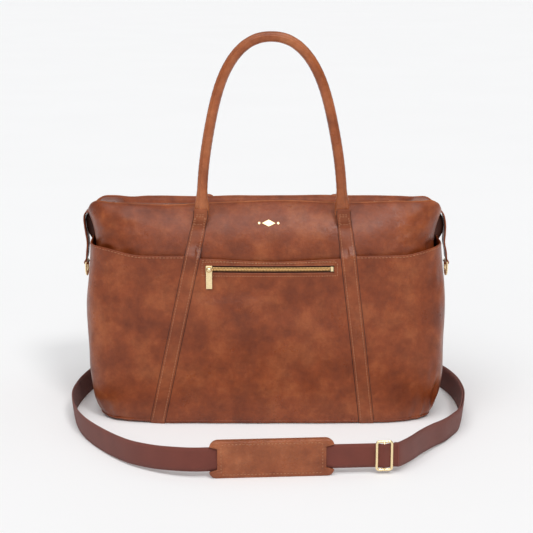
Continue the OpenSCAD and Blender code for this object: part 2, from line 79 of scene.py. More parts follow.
MM = 0.001
FLOOR_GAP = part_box("base_panel")[0].z            # underside of the base leather
HEM_Z = FLOOR_GAP - 1.9 * MM                     # lower edge of the outer leather
RIM_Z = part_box("end_pocket_left")[1].z
LEATHER = 2.2 * MM                               # thickness of one visible leather edge
BAND_LIFT = 1.7 * MM
BAND_WIDTH = 20 * MM
HANDLE_RISE = 239 * MM
HANDLE_POWER = 2 / 2.25
HANDLE_RADIUS = 7.1 * MM
WEBBING = (31 * MM, 2.2 * MM)
HANDLE_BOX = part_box("front_handle_cover")
HANDLE_X = (HANDLE_BOX[0].x + HANDLE_BOX[1].x) / 2
HANDLE_HALF = (HANDLE_BOX[1].x - HANDLE_BOX[0].x) / 2 - 7 * MM
HINGE_Z = HANDLE_BOX[0].z
HANDLE_Y = -(HANDLE_BOX[0].y + HANDLE_BOX[1].y) / 2
DROP = math.radians(147)
ZIP_LOW, ZIP_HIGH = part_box("front_zip_welt")
ZIP_X = (ZIP_LOW.x + ZIP_HIGH.x) / 2
ZIP_Z = (ZIP_LOW.z + ZIP_HIGH.z) / 2
WINDOW_HALF = (ZIP_HIGH.x - ZIP_LOW.x) / 2 - 2 * MM
WINDOW_TALL = 5.4 * MM
PULL_LOW, PULL_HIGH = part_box("front_zip_pull")
SLIDER_LOW, SLIDER_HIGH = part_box("front_zip_slider")


# ---------------------------------------------------------------- mesh helpers

def new_object(name, points, faces, material, smooth=True):
    """A mesh object with outward faces and one material."""
    mesh = bpy.data.meshes.new(name)
    mesh.from_pydata([tuple(map(float, p)) for p in points], [], [tuple(f) for f in faces])
    mesh.update()
    obj = bpy.data.objects.new(name, mesh)
    bpy.context.scene.collection.objects.link(obj)
    mesh.materials.append(material)
    work = bmesh.new()
    work.from_mesh(mesh)
    bmesh.ops.recalc_face_normals(work, faces=work.faces)
    work.to_mesh(mesh)
    work.free()
    for polygon in mesh.polygons:
        polygon.use_smooth = smooth
    return obj


def bevel(obj, width, segments=2):
    mod = obj.modifiers.new("edge", "BEVEL")
    mod.width = width
    mod.segments = segments
    mod.limit_method = "ANGLE"
    mod.angle_limit = math.radians(35)
    return obj


def grid_faces(rows, cols, closed=False, skip=None):
    """Four-sided faces of a grid of points; closed joins its last column to its first."""
    faces = []
    for i in range(rows - 1):
        for j in range(cols if closed else cols - 1):
            if skip is None or not skip[i, j]:
                k = (j + 1) % cols
                faces.append((i * cols + j, i * cols + k, (i + 1) * cols + k, (i + 1) * cols + j))
    return faces


def thick_patch(name, outer, inner, material, closed=False, skip=None):
    """A closed sheet of leather between two grids of points of the same shape."""
    rows, cols = outer.shape[:2]
    front = grid_faces(rows, cols, closed, skip)
    count = rows * cols
    edges = {}
    for face in front:
        for a, b in zip(face, face[1:] + face[:1]):
            key = (min(a, b), max(a, b))
            edges[key] = None if key in edges else (a, b)
    back = [tuple(v + count for v in reversed(face)) for face in front]
    sides = [(b, a, a + count, b + count) for pair in edges.values() if pair for a, b in [pair]]
    points = np.concatenate([outer.reshape(-1, 3), inner.reshape(-1, 3)])
    used = sorted({v for face in front for v in face})
    used = used + [v + count for v in used]
    place = {v: i for i, v in enumerate(used)}
    faces = [tuple(place[v] for v in face) for face in front + back + sides]
    return new_object(name, points[used], faces, material)


def smoothstep(low, high, x):
    """0 up to low and 1 from high on; falls instead when low is the larger."""
    t = np.clip((np.asarray(x, float) - low) / (high - low), 0, 1)
    return t * t * (3 - 2 * t)


def bump(centre, width, x):
    """A smooth hump of height 1."""
    return np.exp(-((np.asarray(x, float) - centre) / width) ** 2)


def through(knots, values, x):
    """A smooth curve through (knot, value) pairs."""
    knots = np.asarray(knots, float)
    values = np.asarray(values, float)
    slopes = np.gradient(values, knots)
    x = np.clip(x, knots[0], knots[-1])
    i = np.clip(np.searchsorted(knots, x, "right") - 1, 0, len(knots) - 2)
    step = knots[i + 1] - knots[i]
    t = (x - knots[i]) / step
    return ((2 * t**3 - 3 * t**2 + 1) * values[i] + (t**3 - 2 * t**2 + t) * step * slopes[i]
            + (3 * t**2 - 2 * t**3) * values[i + 1] + (t**3 - t**2) * step * slopes[i + 1])


def arc_length(points):
    """Distance along a line of points, measured from its first one."""
    steps = np.linalg.norm(np.diff(np.asarray(points, float), axis=0), axis=1)
    return np.concatenate([[0], np.cumsum(steps)])


class Waves:
    """Smooth seeded unevenness of about +-1, with features between two sizes in metres."""

    def __init__(self, small, large, seed, count=14):
        rng = np.random.default_rng(seed)
        way = rng.normal(size=(count, 3))
        way /= np.linalg.norm(way, axis=1, keepdims=True)
        size = rng.uniform(small, large, size=(count, 1))
        self.k = way * 2 * math.pi / size
        self.phase = rng.uniform(0, 2 * math.pi, size=count)

    def __call__(self, points):
        return np.sin(points @ self.k.T + self.phase).sum(-1) / math.sqrt(len(self.phase))


# ---------------------------------------------------------------- form of the bag

LOWER_ROWS = np.array([  # height, half width, half depth (mm)
    [0, 231, 113.5], [4, 234, 115.5], [12, 240, 117.5], [25, 245, 118.6], [50, 249.5, 118.8],
    [90, 252.5, 118], [130, 254, 115.5], [165, 253.4, 111], [190, 251.2, 108], [205, 249.6, 107],
    [230, 247.4, 106.6], [262, 246, 105]]) * MM
SQUARENESS = 5.6                                  # of the lower shell's plan
PLAN_Z = 0.12                                     # height at which its plan is spaced evenly
FACE_Y = 0.107                                    # about how far its faces stand from the middle
UPPER_ROWS = np.array([  # half width, half depth and height (mm), squareness
    [237.5, 101.0, 190, 4.6], [238, 101.0, 215, 4.4], [238.5, 100.6, 235, 4.2], [240, 98.4, 248, 4.0],
    [243, 94, 262, 3.8], [246.5, 87.5, 274.5, 3.8], [249, 80, 284.5, 3.9], [250, 72.5, 291.5, 4.2],
    [249.5, 66.5, 295.5, 4.4], [248, 61.5, 296.6, 4.5], [245, 58.0, 294.6, 4.5], [239, 53.5, 290.8, 4.5],
    [229, 46.5, 287.6, 4.6], [217, 37.5, 286.6, 5.0], [206, 28, 287, 5.6], [199, 21, 285.8, 6.6],
    [194, 15, 285.2, 8.0]])
UPPER_ROWS[:, :3] *= MM
CREST_ROW = 9.0                                   # row number of the top edge
CREST_DROP = 2.6 * MM                             # the top edge sits this much below the rows' height
WAIST_ROW = 3.0                                   # rows above this one rise and sag with the edge

SLOW_WAVES = Waves(0.11, 0.24, 3)
MID_WAVES = Waves(0.045, 0.09, 11)
CREASE_WAVES = Waves(0.018, 0.04, 23)


def ring(alpha, width, depth, power):
    """Point of a squarish oval at polar angle alpha; front centre is at -90 degrees."""
    c, s = np.cos(alpha), np.sin(alpha)
    r = (np.abs(c / width) ** power + np.abs(s / depth) ** power) ** (-1 / power)
    return r * c, r * s


def with_normal(place, a, b, step_a, step_b):
    """Points and outward normals of a surface place(a, b)."""
    here = place(a, b)
    along = place(a + step_a, b) - place(a - step_a, b)
    up = place(a, b + step_b) - place(a, b - step_b)
    normal = np.cross(along, up)
    normal /= np.linalg.norm(normal, axis=-1, keepdims=True) + 1e-12
    return here, normal


def drawn_in(x, share):
    """The right end of the bag stands a little nearer its middle than the left."""
    return x * (1 - share * smoothstep(0.08, 0.22, x))


def lower_base(alpha, z):
    """The lower shell's plain form at a polar angle and a height."""
    width = through(LOWER_ROWS[:, 0], LOWER_ROWS[:, 1], z)
    depth = through(LOWER_ROWS[:, 0], LOWER_ROWS[:, 2], z)
    x, y = ring(alpha, width - 2 * MM, depth, SQUARENESS)
    return np.stack([drawn_in(x, 0.005), y, z + 0 * x], -1)


def zip_seat(x, y, z):
    """1 where the leather lies flat round the front zip, 0 away from it."""
    near = smoothstep(0.135, 0.10, np.abs(x - ZIP_X)) * smoothstep(0.045, 0.022, np.abs(z - ZIP_Z + 0.006))
    return near * (np.asarray(y) < 0)


def lower_dents(p):
    """How far the lower shell stands out of its plain form."""
    x, y, z = p[..., 0], p[..., 1], p[..., 2]
    face = smoothstep(0.06, 0.10, np.abs(y))
    corner = smoothstep(0.17, 0.225, np.abs(x)) * smoothstep(0.03, 0.09, np.abs(y))
    out = 1.5 * MM * SLOW_WAVES(p) * smoothstep(0.0, 0.05, z)
    out = out + 0.5 * MM * MID_WAVES(p)
    out = out + face * 2.0 * MM * bump(0.0, 0.085, x) * bump(0.10, 0.07, z)
    out = out + corner * 1.2 * MM * bump(RIM_Z, 0.03, z)
    out = out - face * 1.1 * MM * (bump(band_x(-1, z), 0.013, x) + bump(band_x(1, z), 0.013, x))
    creases = np.abs(CREASE_WAVES(p * np.array([1.0, 1.0, 0.45]))) ** 1.5
    near_floor = bump(0.02, 0.035, z) * corner
    out = out - 1.2 * MM * creases * (near_floor + 0.3 * corner)
    return out * (1 - zip_seat(x, y, z))


def lower(alpha, z, lift=0.0):
    """Points and outward normals of the lower shell, moved outwards by lift."""
    alpha = np.asarray(alpha, float)
    here, normal = with_normal(lower_base, alpha, z, 2e-3, 1e-3)
    out = here + normal * (lower_dents(here) + lift)[..., None]
    return out, normal


def upper_base(alpha, v):
    """The upper leather's plain form at a polar angle and a row, up the sides and over to the zip."""
    rows = np.arange(len(UPPER_ROWS))
    width, depth, z, power = (through(rows, UPPER_ROWS[:, k], v) for k in range(4))
    x, y = ring(alpha, width, depth, power)
    rise = smoothstep(WAIST_ROW, CREST_ROW, v) * (1 - smoothstep(CREST_ROW + 2.5, 15.5, v))
    tilt = -4.3 * MM * np.clip(y / 0.06, -1.1, 1.1)
    front = smoothstep(0.0, 0.03, -y)
    dip = 1.4 + 4.2 * bump(0.01, 0.065, x) - 2.4 * bump(-0.15, 0.05, x) + 3.6 * bump(0.18, 0.045, x)
    dip = dip * front * MM
    corner = 1.6 * MM * bump(0.234, 0.014, np.abs(x))
    end = smoothstep(0.231, 0.2495, np.abs(x)) * bump(0, 0.036, y)
    z = z + rise * (tilt + dip + corner - CREST_DROP - 19 * MM * end)
    filled = smoothstep(0.202, 0.215, np.abs(x)) * smoothstep(CREST_ROW + 0.3, CREST_ROW + 1.5, v)
    level = 0.2958 - CREST_DROP + tilt + 0.5 * dip + corner - 17 * MM * end
    z = z + filled * (level - z) * (1 - smoothstep(14.6, 15.4, v))
    return np.stack([drawn_in(x, 0.005 + 0.017 * smoothstep(1.0, 6.0, v)), y, z], -1)


def upper_dents(p, v):
    """How far the upper leather stands out of its plain form."""
    x, y, z = p[..., 0], p[..., 1], p[..., 2]
    outside = 1 - smoothstep(CREST_ROW - 1.5, CREST_ROW + 1, v)
    corner = smoothstep(0.15, 0.22, np.abs(x)) * smoothstep(0.02, 0.07, np.abs(y))
    out = (1.2 * SLOW_WAVES(p) + 0.6 * MID_WAVES(p)) * MM * (0.3 + 0.7 * outside)
    out = out - outside * corner * 2.5 * MM * bump(0.250, 0.02, z)
    creases = np.abs(CREASE_WAVES(p * np.array([0.5, 1.0, 1.0]))) ** 1.5
    out = out - 1.3 * MM * outside * corner * creases
    return out


def upper(alpha, v, lift=0.0):
    """Points and outward normals of the upper leather, moved outwards by lift."""
    alpha = np.asarray(alpha, float)
    here, normal = with_normal(upper_base, alpha, v, 2e-3, 2e-2)
    return here + normal * (upper_dents(here, v) + lift)[..., None], normal


# ---------------------------------------------------------------- places on the faces

def band_x(side, z):
    """Middle of a side's bands at a height, read from the CAD front band's box."""
    low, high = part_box("band_front_left" if side < 0 else "band_front_right")
    foot = low.x + BAND_WIDTH / 2 if side < 0 else high.x - BAND_WIDTH / 2
    top = high.x - BAND_WIDTH / 2 if side < 0 else low.x + BAND_WIDTH / 2
    return foot + (top - foot) * (np.asarray(z, float) - low.z) / (high.z - low.z)


def rim_height(x, y):
    """Height of the slip pockets' free edge: level round the ends, sagging across the faces."""
    across = np.abs(np.asarray(x, float) - 0.008)
    sag = 15 * MM * (1 - smoothstep(0.0, 0.11, across))
    sag = np.where(across < 0.104, 13.5 * MM + 0.3 * sag, 10 * MM * (1 - smoothstep(0.175, 0.24, across)))
    return RIM_Z + 2 * MM - sag * smoothstep(0.04, 0.09, np.abs(y))


def face_alpha(x, z, face, table):
    """Polar angle of the face's point at a given x, on the lower shell or an upper row."""
    width, depth, power = table(z)
    y = face * depth * (1 - np.clip(np.abs(x / width), 0, 0.999) ** power) ** (1 / power)
    return np.arctan2(y, x)


def lower_table(z):
    """Half width, half depth and squareness of the lower shell at a height."""
    return (through(LOWER_ROWS[:, 0], LOWER_ROWS[:, 1], z),
            through(LOWER_ROWS[:, 0], LOWER_ROWS[:, 2], z), SQUARENESS)


def upper_table(v):
    """The same of the upper leather at a row."""
    rows = np.arange(len(UPPER_ROWS))
    return tuple(through(rows, UPPER_ROWS[:, k], v) for k in (0, 1, 3))


def on_lower_face(x, z, face=-1, lift=0.0):
    """Points and outward normals of the pocket leather at (x, z)."""
    return lower(face_alpha(x, z, face, lower_table), z, lift)


def on_upper_face(x, z, face=-1, lift=0.0):
    """The same of the body leather, whose row at height z is found by halving."""
    low = np.zeros(np.broadcast(x, z).shape)
    high = low + CREST_ROW
    for _ in range(24):
        v = (low + high) / 2
        p = upper(face_alpha(x, v, face, upper_table), v)[0]
        below = p[..., 2] < z
        low = np.where(below, v, low)
        high = np.where(below, high, v)
    return upper(face_alpha(x, v, face, upper_table), v, lift)


def on_face(x, z, face=-1, lift=0.0):
    """The same of whichever leather shows at (x, z): the pocket below its rim, else the body."""
    x = np.asarray(x, float)
    z = np.asarray(z, float)
    low, low_n = on_lower_face(x, z, face, lift)
    high, high_n = on_upper_face(x, z, face, lift)
    rim = rim_height(x, low[..., 1])
    mix = smoothstep(-0.001, 0.012, z - rim)[..., None]
    normal = low_n * (1 - mix) + high_n * mix
    return low * (1 - mix) + high * mix, normal / np.linalg.norm(normal, axis=-1, keepdims=True)


# ---------------------------------------------------------------- materials

def srgb(r, g, b):
    """A linear colour from display values of 0 to 255."""
    def linear(c):
        c /= 255
        return c / 12.92 if c <= 0.04045 else ((c + 0.055) / 1.055) ** 2.4
    return linear(r), linear(g), linear(b)


def start_material(name):
    """A new material with its node tree, its shader and the object's own coordinates."""
    mat = bpy.data.materials.new(name)
    mat.use_nodes = True
    tree = mat.node_tree
    shader = tree.nodes["Principled BSDF"]
    coords = tree.nodes.new("ShaderNodeTexCoord")
    return mat, tree, shader, coords.outputs["Object"]


def noise(tree, coords, scale, detail=4.0, rough=0.55):
    """Cloudy values of 0 to 1, finer with a larger scale."""
    node = tree.nodes.new("ShaderNodeTexNoise")
    node.inputs["Scale"].default_value = scale
    node.inputs["Detail"].default_value = detail
    node.inputs["Roughness"].default_value = rough
    tree.links.new(coords, node.inputs["Vector"])
    return node.outputs["Fac"]


def ramp(tree, value, stops):
    """Colours over a value, as (place, colour) stops; one number stands for a grey."""
    node = tree.nodes.new("ShaderNodeValToRGB")
    while len(node.color_ramp.elements) < len(stops):
        node.color_ramp.elements.new(0.5)
    for element, (place, colour) in zip(node.color_ramp.elements, stops):
        element.position = place
        element.color = (*colour, 1.0) if isinstance(colour, tuple) else (colour, colour, colour, 1.0)
    tree.links.new(value, node.inputs["Fac"])
    return node.outputs["Color"]


def multiply(tree, a, b, share):
    """Colour a made darker by colour b, by a share."""
    node = tree.nodes.new("ShaderNodeMix")
    node.data_type = "RGBA"
    node.blend_type = "MULTIPLY"
    node.inputs[0].default_value = share
    tree.links.new(a, node.inputs[6])             # the colour sockets' places, as their names repeat
    tree.links.new(b, node.inputs[7])
    return node.outputs[2]


def add_bump(tree, shader, height, strength, distance, under=None):
    """Relief on a shader from a height, on top of the relief under it."""
    node = tree.nodes.new("ShaderNodeBump")
    node.inputs["Strength"].default_value = strength
    node.inputs["Distance"].default_value = distance
    tree.links.new(height, node.inputs["Height"])
    if under is not None:
        tree.links.new(under, node.inputs["Normal"])
    tree.links.new(node.outputs["Normal"], shader.inputs["Normal"])
    return node.outputs["Normal"]


def leather(name, dark, mid, light, grain=1.0, gloss=(0.25, 0.48)):
    """Waxed full-grain leather: cloudy colour, darker pores, fine pebble grain, uneven shine."""
    mat, tree, shader, coords = start_material(name)
    clouds = noise(tree, coords, 19, 8, 0.7)
    colour = ramp(tree, clouds, [(0.26, dark), (0.50, mid), (0.74, light)])
    streaks = noise(tree, coords, 46, 6, 0.7)
    tint = ramp(tree, streaks, [(0.34, 0.72), (0.60, 1.0)])
    colour = multiply(tree, colour, tint, 0.8)
    pebble = tree.nodes.new("ShaderNodeTexVoronoi")
    pebble.feature = "DISTANCE_TO_EDGE"
    pebble.inputs["Scale"].default_value = 720
    tree.links.new(coords, pebble.inputs["Vector"])
    pores = ramp(tree, pebble.outputs["Distance"], [(0.0, 0.80), (0.09, 1.0)])
    tree.links.new(multiply(tree, colour, pores, 0.5), shader.inputs["Base Color"])
    shine = ramp(tree, noise(tree, coords, 30, 5), [(0.3, gloss[1]), (0.7, gloss[0])])
    tree.links.new(shine, shader.inputs["Roughness"])
    shader.inputs["Specular IOR Level"].default_value = 0.36
    shader.inputs["Coat Weight"].default_value = 0.05
    shader.inputs["Coat Roughness"].default_value = 0.28
    folds = add_bump(tree, shader, noise(tree, coords, 38, 7, 0.62), 0.5 * grain, 0.0024)
    cells = ramp(tree, pebble.outputs["Distance"], [(0.0, 0.0), (0.16, 1.0)])
    add_bump(tree, shader, cells, 0.22 * grain, 0.0004, folds)
    return mat


def metal(name, colour, rough=0.22):
    """Plated metal with faint wear."""
    mat, tree, shader, coords = start_material(name)
    bright = tuple(min(1, c * 1.12) for c in colour)
    wear = ramp(tree, noise(tree, coords, 160, 5), [(0.3, colour), (0.75, bright)])
    tree.links.new(wear, shader.inputs["Base Color"])
    shader.inputs["Metallic"].default_value = 1.0
    shine = ramp(tree, noise(tree, coords, 420, 6), [(0.3, rough), (0.7, rough + 0.12)])
    tree.links.new(shine, shader.inputs["Roughness"])
    add_bump(tree, shader, noise(tree, coords, 900, 3), 0.05, 0.0002)
    return mat


def woven(name, dark, light, pitch, laid_out=False, rough=0.75, depth=0.0004):
    """Cloth woven of threads of the given pitch, which run along a laid-out piece's own length."""
    mat, tree, shader, coords = start_material(name)
    place = coords.node.outputs["UV"] if laid_out else coords
    waves = []
    for axis in ("X", "Y" if laid_out else "Z"):
        wave = tree.nodes.new("ShaderNodeTexWave")
        wave.bands_direction = axis
        wave.inputs["Scale"].default_value = 0.314 / pitch
        wave.inputs["Distortion"].default_value = 0.35
        wave.inputs["Detail"].default_value = 2
        wave.inputs["Detail Scale"].default_value = 4
        tree.links.new(place, wave.inputs["Vector"])
        waves.append(wave.outputs["Fac"])
    weave = multiply(tree, *waves, 0.5)
    patches = ramp(tree, noise(tree, coords, 40, 4), [(0.3, 0.82), (0.7, 1.0)])
    colour = ramp(tree, weave, [(0.1, dark), (0.7, light)])
    tree.links.new(multiply(tree, colour, patches, 1.0), shader.inputs["Base Color"])
    shader.inputs["Roughness"].default_value = rough
    shader.inputs["Sheen Weight"].default_value = 0.08
    add_bump(tree, shader, weave, 0.7, depth)
    return mat


TAN = leather("leather_tan", srgb(98, 38, 12), srgb(134, 62, 27), srgb(168, 92, 50))
BAND = leather("leather_band", srgb(104, 43, 16), srgb(136, 66, 32), srgb(164, 92, 53))
ROLLED = leather("leather_rolled", srgb(122, 54, 22), srgb(162, 88, 48), srgb(190, 116, 72), 1.1,
                 (0.13, 0.30))
PAD = leather("leather_pad", srgb(118, 55, 26), srgb(150, 81, 46), srgb(182, 111, 72), 1.7, (0.2, 0.4))
EDGE = leather("leather_edge", srgb(112, 54, 26), srgb(156, 84, 42), srgb(186, 112, 64), 0.5, (0.5, 0.7))
# Dark leather colour: painted shade on the pockets' inner wall and on the gusset folds under the tabs, and
# dark edge paint that also stands in for the shade line beside the bands.
DARK_EDGE_AND_SHADE = leather("leather_dark_edge_and_shade", srgb(50, 24, 16), srgb(66, 33, 22), srgb(82, 43, 29), 0.6, (0.6, 0.8))
THREAD = woven("thread", srgb(150, 88, 54), srgb(214, 156, 112), 0.5 * MM, rough=0.6, depth=0.0001)
GOLD = metal("gold", srgb(246, 222, 174))
TEETH = metal("zip_gold", srgb(226, 184, 124), 0.3)
FOIL = metal("foil", srgb(250, 226, 170), 0.34)
WEB = woven("webbing", srgb(82, 32, 22), srgb(142, 68, 52), 0.9 * MM, laid_out=True)
TAPE = woven("zip_tape", srgb(44, 20, 13), srgb(78, 38, 26), 0.7 * MM)
CLOTH = woven("lining_cloth", srgb(150, 124, 92), srgb(190, 166, 130), 0.8 * MM)
BOARD = leather("board", srgb(24, 24, 24), srgb(34, 34, 34), srgb(44, 44, 44), 0.5, (0.7, 0.85))
ROPE = woven("rope_core", srgb(150, 130, 96), srgb(205, 188, 150), 1.2 * MM)


# ---------------------------------------------------------------- camera, light, floor

AIM_Z = 0.198
DISTANCE = 2.2
ELEVATION = math.radians(12)
FRAME_PIXELS = 533
FOCAL_PIXELS = 1540


def make_camera():
    data = bpy.data.cameras.new("camera")
    data.sensor_width = 36
    data.lens = FOCAL_PIXELS / FRAME_PIXELS * data.sensor_width
    data.dof.use_dof = False
    camera = bpy.data.objects.new("camera", data)
    bpy.context.scene.collection.objects.link(camera)
    camera.location = (0, -DISTANCE * math.cos(ELEVATION), AIM_Z + DISTANCE * math.sin(ELEVATION))
    camera.rotation_euler = (math.pi / 2 - ELEVATION, 0, 0)
    bpy.context.scene.camera = camera


def sun(name, towards, strength, angle):
    """A soft, even light that comes from the given direction."""
    data = bpy.data.lights.new(name, "SUN")
    data.energy = strength
    data.angle = math.radians(angle)
    light = bpy.data.objects.new(name, data)
    bpy.context.scene.collection.objects.link(light)
    light.rotation_euler = Vector(towards).to_track_quat("Z", "Y").to_euler()


def make_studio():
    mat, tree, shader, coords = start_material("studio_floor")
    tone = ramp(tree, noise(tree, coords, 2, 2), [(0.3, 0.905), (0.7, 0.915)])
    tree.links.new(tone, shader.inputs["Base Color"])
    shader.inputs["Roughness"].default_value = 0.8
    shader.inputs["Specular IOR Level"].default_value = 0.1
    half = 40.0
    points = [(-half, -half, 0), (half, -half, 0), (-half, half, 0), (half, half, 0)]
    new_object("studio_floor", points, [(0, 1, 3, 2)], mat)
    scene = bpy.context.scene
    scene.world = bpy.data.worlds.new("studio")
    scene.world.use_nodes = True
    background = scene.world.node_tree.nodes["Background"]
    background.inputs["Color"].default_value = (0.97, 0.98, 1.0, 1)
    background.inputs["Strength"].default_value = 0.40
    sun("key", (0.25, -0.57, 0.57), 0.85, 12)
    sun("top", (-0.1, -0.45, 1.0), 1.28, 60)
    sun("front", (-0.2, -1.0, 0.8), 0.55, 60)
    scene.view_settings.view_transform = "Standard"
    scene.view_settings.look = "None"


make_camera()
make_studio()


# ---------------------------------------------------------------- small repeated pieces

def tube(centres, frames, radii, sides, start=0, caps=True, groove=None):
    """Points and faces of a tube; frames are (side, up) pairs and radii (side, up) half sizes."""
    points = []
    shape = np.ones(sides)
    if groove is not None:
        turn = np.linspace(0, 2 * math.pi, sides, endpoint=False)
        away = (turn - groove + math.pi) % (2 * math.pi) - math.pi
        shape = 1 - 0.2 * bump(0, 0.13, away) + 0.05 * bump(0.4, 0.2, away) + 0.02 * np.cos(5 * away)
    for centre, (side, up), (half_side, half_up) in zip(centres, frames, radii):
        for k in range(sides):
            a = 2 * math.pi * k / sides
            points.append(centre + side * half_side * shape[k] * math.cos(a)
                          + up * half_up * shape[k] * math.sin(a))
    rows = len(centres)
    faces = [tuple(start + v for v in face) for face in grid_faces(rows, sides, closed=True)]
    if caps:
        faces.append(tuple(start + k for k in range(sides - 1, -1, -1)))
        faces.append(tuple(start + (rows - 1) * sides + k for k in range(sides)))
    return points, faces


def stitch_row(places, normals, length=3.3 * MM, gap=1.5 * MM, radius=0.38 * MM):
    """Points and faces of a row of stitches along a line on a surface."""
    reach = arc_length(places)
    line = np.hstack([places, normals])

    def at(distance):
        return np.array([np.interp(distance, reach, line[:, k]) for k in range(6)]).reshape(2, 3)

    points, faces = [], []
    for i in range(max(1, int(reach[-1] // (length + gap)))):
        a, up = at(i * (length + gap))
        b, _ = at(i * (length + gap) + length)
        way = (b - a) / (np.linalg.norm(b - a) + 1e-12)
        side = np.cross(way, up)
        side /= np.linalg.norm(side) + 1e-12
        centres = [a + (b - a) * t + up * radius * lift
                   for t, lift in ((0, 0.15), (0.25, 0.5), (0.75, 0.5), (1, 0.15))]
        radii = [(radius * swell, 0.8 * radius * swell) for swell in (0.3, 1.0, 1.0, 0.3)]
        more, cells = tube(centres, [(side, up)] * 4, radii, 6, len(points))
        points += more
        faces += cells
    return points, faces


def stitches(name, rows, **sizes):
    """One object holding several rows of stitches; each row is (points, normals)."""
    points, faces = [], []
    for places, normals in rows:
        more, cells = stitch_row(places, normals, **sizes)
        faces += [tuple(v + len(points) for v in face) for face in cells]
        points += more
    return new_object(name, points, faces, THREAD)


def lathe(name, profile, place, axis, material):
    """A turned piece: profile holds (radius, distance along axis) in mm."""
    axis = Vector(axis).normalized()
    side = axis.orthogonal().normalized()
    centres = [np.array(Vector(place) + axis * d * MM) for _, d in profile]
    frames = [(np.array(side), np.array(axis.cross(side)))] * len(profile)
    points, faces = tube(centres, frames, [(r * MM, r * MM) for r, _ in profile], 32)
    return new_object(name, points, faces, material)


def join(objects, name):
    """Joins objects into the first of them."""
    bpy.context.view_layer.update()
    for obj in bpy.context.selected_objects:
        obj.select_set(False)
    for obj in objects:
        obj.select_set(True)
    bpy.context.view_layer.objects.active = objects[0]
    bpy.ops.object.join()
    objects[0].name = name
    return objects[0]


def finish_piece(obj, body, slot, *nodes):
    """Fastens a piece to its body, and hides the CAD nodes that it replaces."""
    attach(obj, body)
    if nodes:
        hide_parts(*nodes)
    return obj


# ---------------------------------------------------------------- lower shell: four pocket panels

SIDE_COLUMNS, WINDOW_COLUMNS = 14, 46              # of a face, beside and along the zip's window
SILL_ROWS = 44                                    # of a face, below the window


def zip_dip(x, z):
    """How far the front zip sags below its straight line."""
    share = np.clip(1 - ((x - ZIP_X) / WINDOW_HALF) ** 2, 0, 1)
    return -0.8 * MM * share * bump(ZIP_Z, 0.03, z)


def face_panel(name, face, hole):
    """The pocket panel between the bands, front (face -1) or back, with the zip's window if hole."""
    left, right = ZIP_X - WINDOW_HALF, ZIP_X + WINDOW_HALF
    sill, head = ZIP_Z - WINDOW_TALL, ZIP_Z + WINDOW_TALL

    def row_x(z):
        """Columns from band to band, with columns of their own at the window's ends."""
        return np.concatenate([np.linspace(band_x(-1, z), left, SIDE_COLUMNS)[:-1],
                               np.linspace(left, right, WINDOW_COLUMNS),
                               np.linspace(right, band_x(1, z), SIDE_COLUMNS)[1:]])

    levels = np.concatenate([np.linspace(HEM_Z, sill, SILL_ROWS), np.linspace(sill, head, 5)[1:]])
    above = np.linspace(0, 1, 8)[1:]
    grid_x = np.array([row_x(z) for z in levels] + [row_x(ZIP_Z + 15 * MM)] * len(above))
    top = rim_height(grid_x[-1], face * FACE_Y)
    grid_z = np.concatenate([np.repeat(levels[:, None], len(top), 1), head + (top - head) * above[:, None]])
    skip = None
    if hole:
        grid_z[:-1] += zip_dip(grid_x, grid_z)[:-1]
        skip = np.zeros((len(grid_x) - 1, len(top) - 1), bool)
        first = SIDE_COLUMNS - 1
        skip[SILL_ROWS - 1:len(levels) - 1, first:first + WINDOW_COLUMNS - 1] = True
    outer = on_lower_face(grid_x, grid_z, face)[0]
    inner = on_lower_face(grid_x, grid_z, face, -LEATHER)[0]
    return bevel(thick_patch(name, outer, inner, TAN, skip=skip), 0.5 * MM)


def evenly(first, last, shares):
    """Angles from first to last that space the lower shell's plan evenly, at shares of its length."""
    angles = np.linspace(first, last, 6000)
    reach = arc_length(lower_base(angles, np.full(angles.shape, PLAN_Z)))
    return np.interp(shares * reach[-1], reach, angles)


def all_round(count):
    return evenly(-math.pi, math.pi, np.linspace(0, 1, count, endpoint=False))


def end_angles(side, z):
    """Polar angles at which an end's panel meets its front and its back band."""
    first, last = (face_alpha(band_x(side, z), z, face, lower_table) for face in (-1, 1))
    return first, last - (2 * math.pi if side < 0 else 0)


def end_panel(name, side):
    """The pocket panel round one end, from the front band to the back one."""
    columns = 150
    first, last = end_angles(side, PLAN_Z)
    even = (evenly(first, last, np.linspace(0, 1, columns)) - first) / (last - first)
    rise = np.linspace(0, 1, 52)[:, None]
    first, last = end_angles(side, HEM_Z + (RIM_Z - HEM_Z) * rise)
    grid_a = first + (last - first) * even
    rim = lower_base(grid_a[-1], np.full(columns, RIM_Z))
    grid_z = HEM_Z + (rim_height(rim[:, 0], rim[:, 1]) - HEM_Z) * rise
    outer = lower(grid_a, grid_z)[0]
    inner = lower(grid_a, grid_z, -LEATHER)[0]
    return bevel(thick_patch(name, outer, inner, TAN), 0.5 * MM)


def rim_line(side, ends=False):
    """Points and normals of the stitching under a pocket's free edge, of a face or of an end."""
    count, drop = 160, 2.6 * MM
    if ends:
        angles = np.linspace(*end_angles(side, RIM_Z), count)
        rim = lower_base(angles, np.full(count, RIM_Z))
        return lower(angles, rim_height(rim[:, 0], rim[:, 1]) - drop)
    beside_band = BAND_WIDTH / 2 + 1 * MM
    x = np.linspace(band_x(-1, RIM_Z) + beside_band, band_x(1, RIM_Z) - beside_band, count)
    return on_lower_face(x, rim_height(x, side * FACE_Y) - drop, side)


def build_lower_shell():
    finish_piece(face_panel("pocket_front", -1, True), "bag", "leather", "front_pocket_panel")
    finish_piece(face_panel("pocket_back", 1, False), "bag", "leather", "back_pocket_panel")
    for side, word in ((-1, "left"), (1, "right")):
        finish_piece(end_panel(f"pocket_{word}", side), "bag", "leather", f"end_pocket_{word}")
    rows = [rim_line(-1), rim_line(1), rim_line(-1, True), rim_line(1, True)]
    finish_piece(stitches("rim_stitches", rows), "bag", "leather")


# ---------------------------------------------------------------- body, top, base, inside

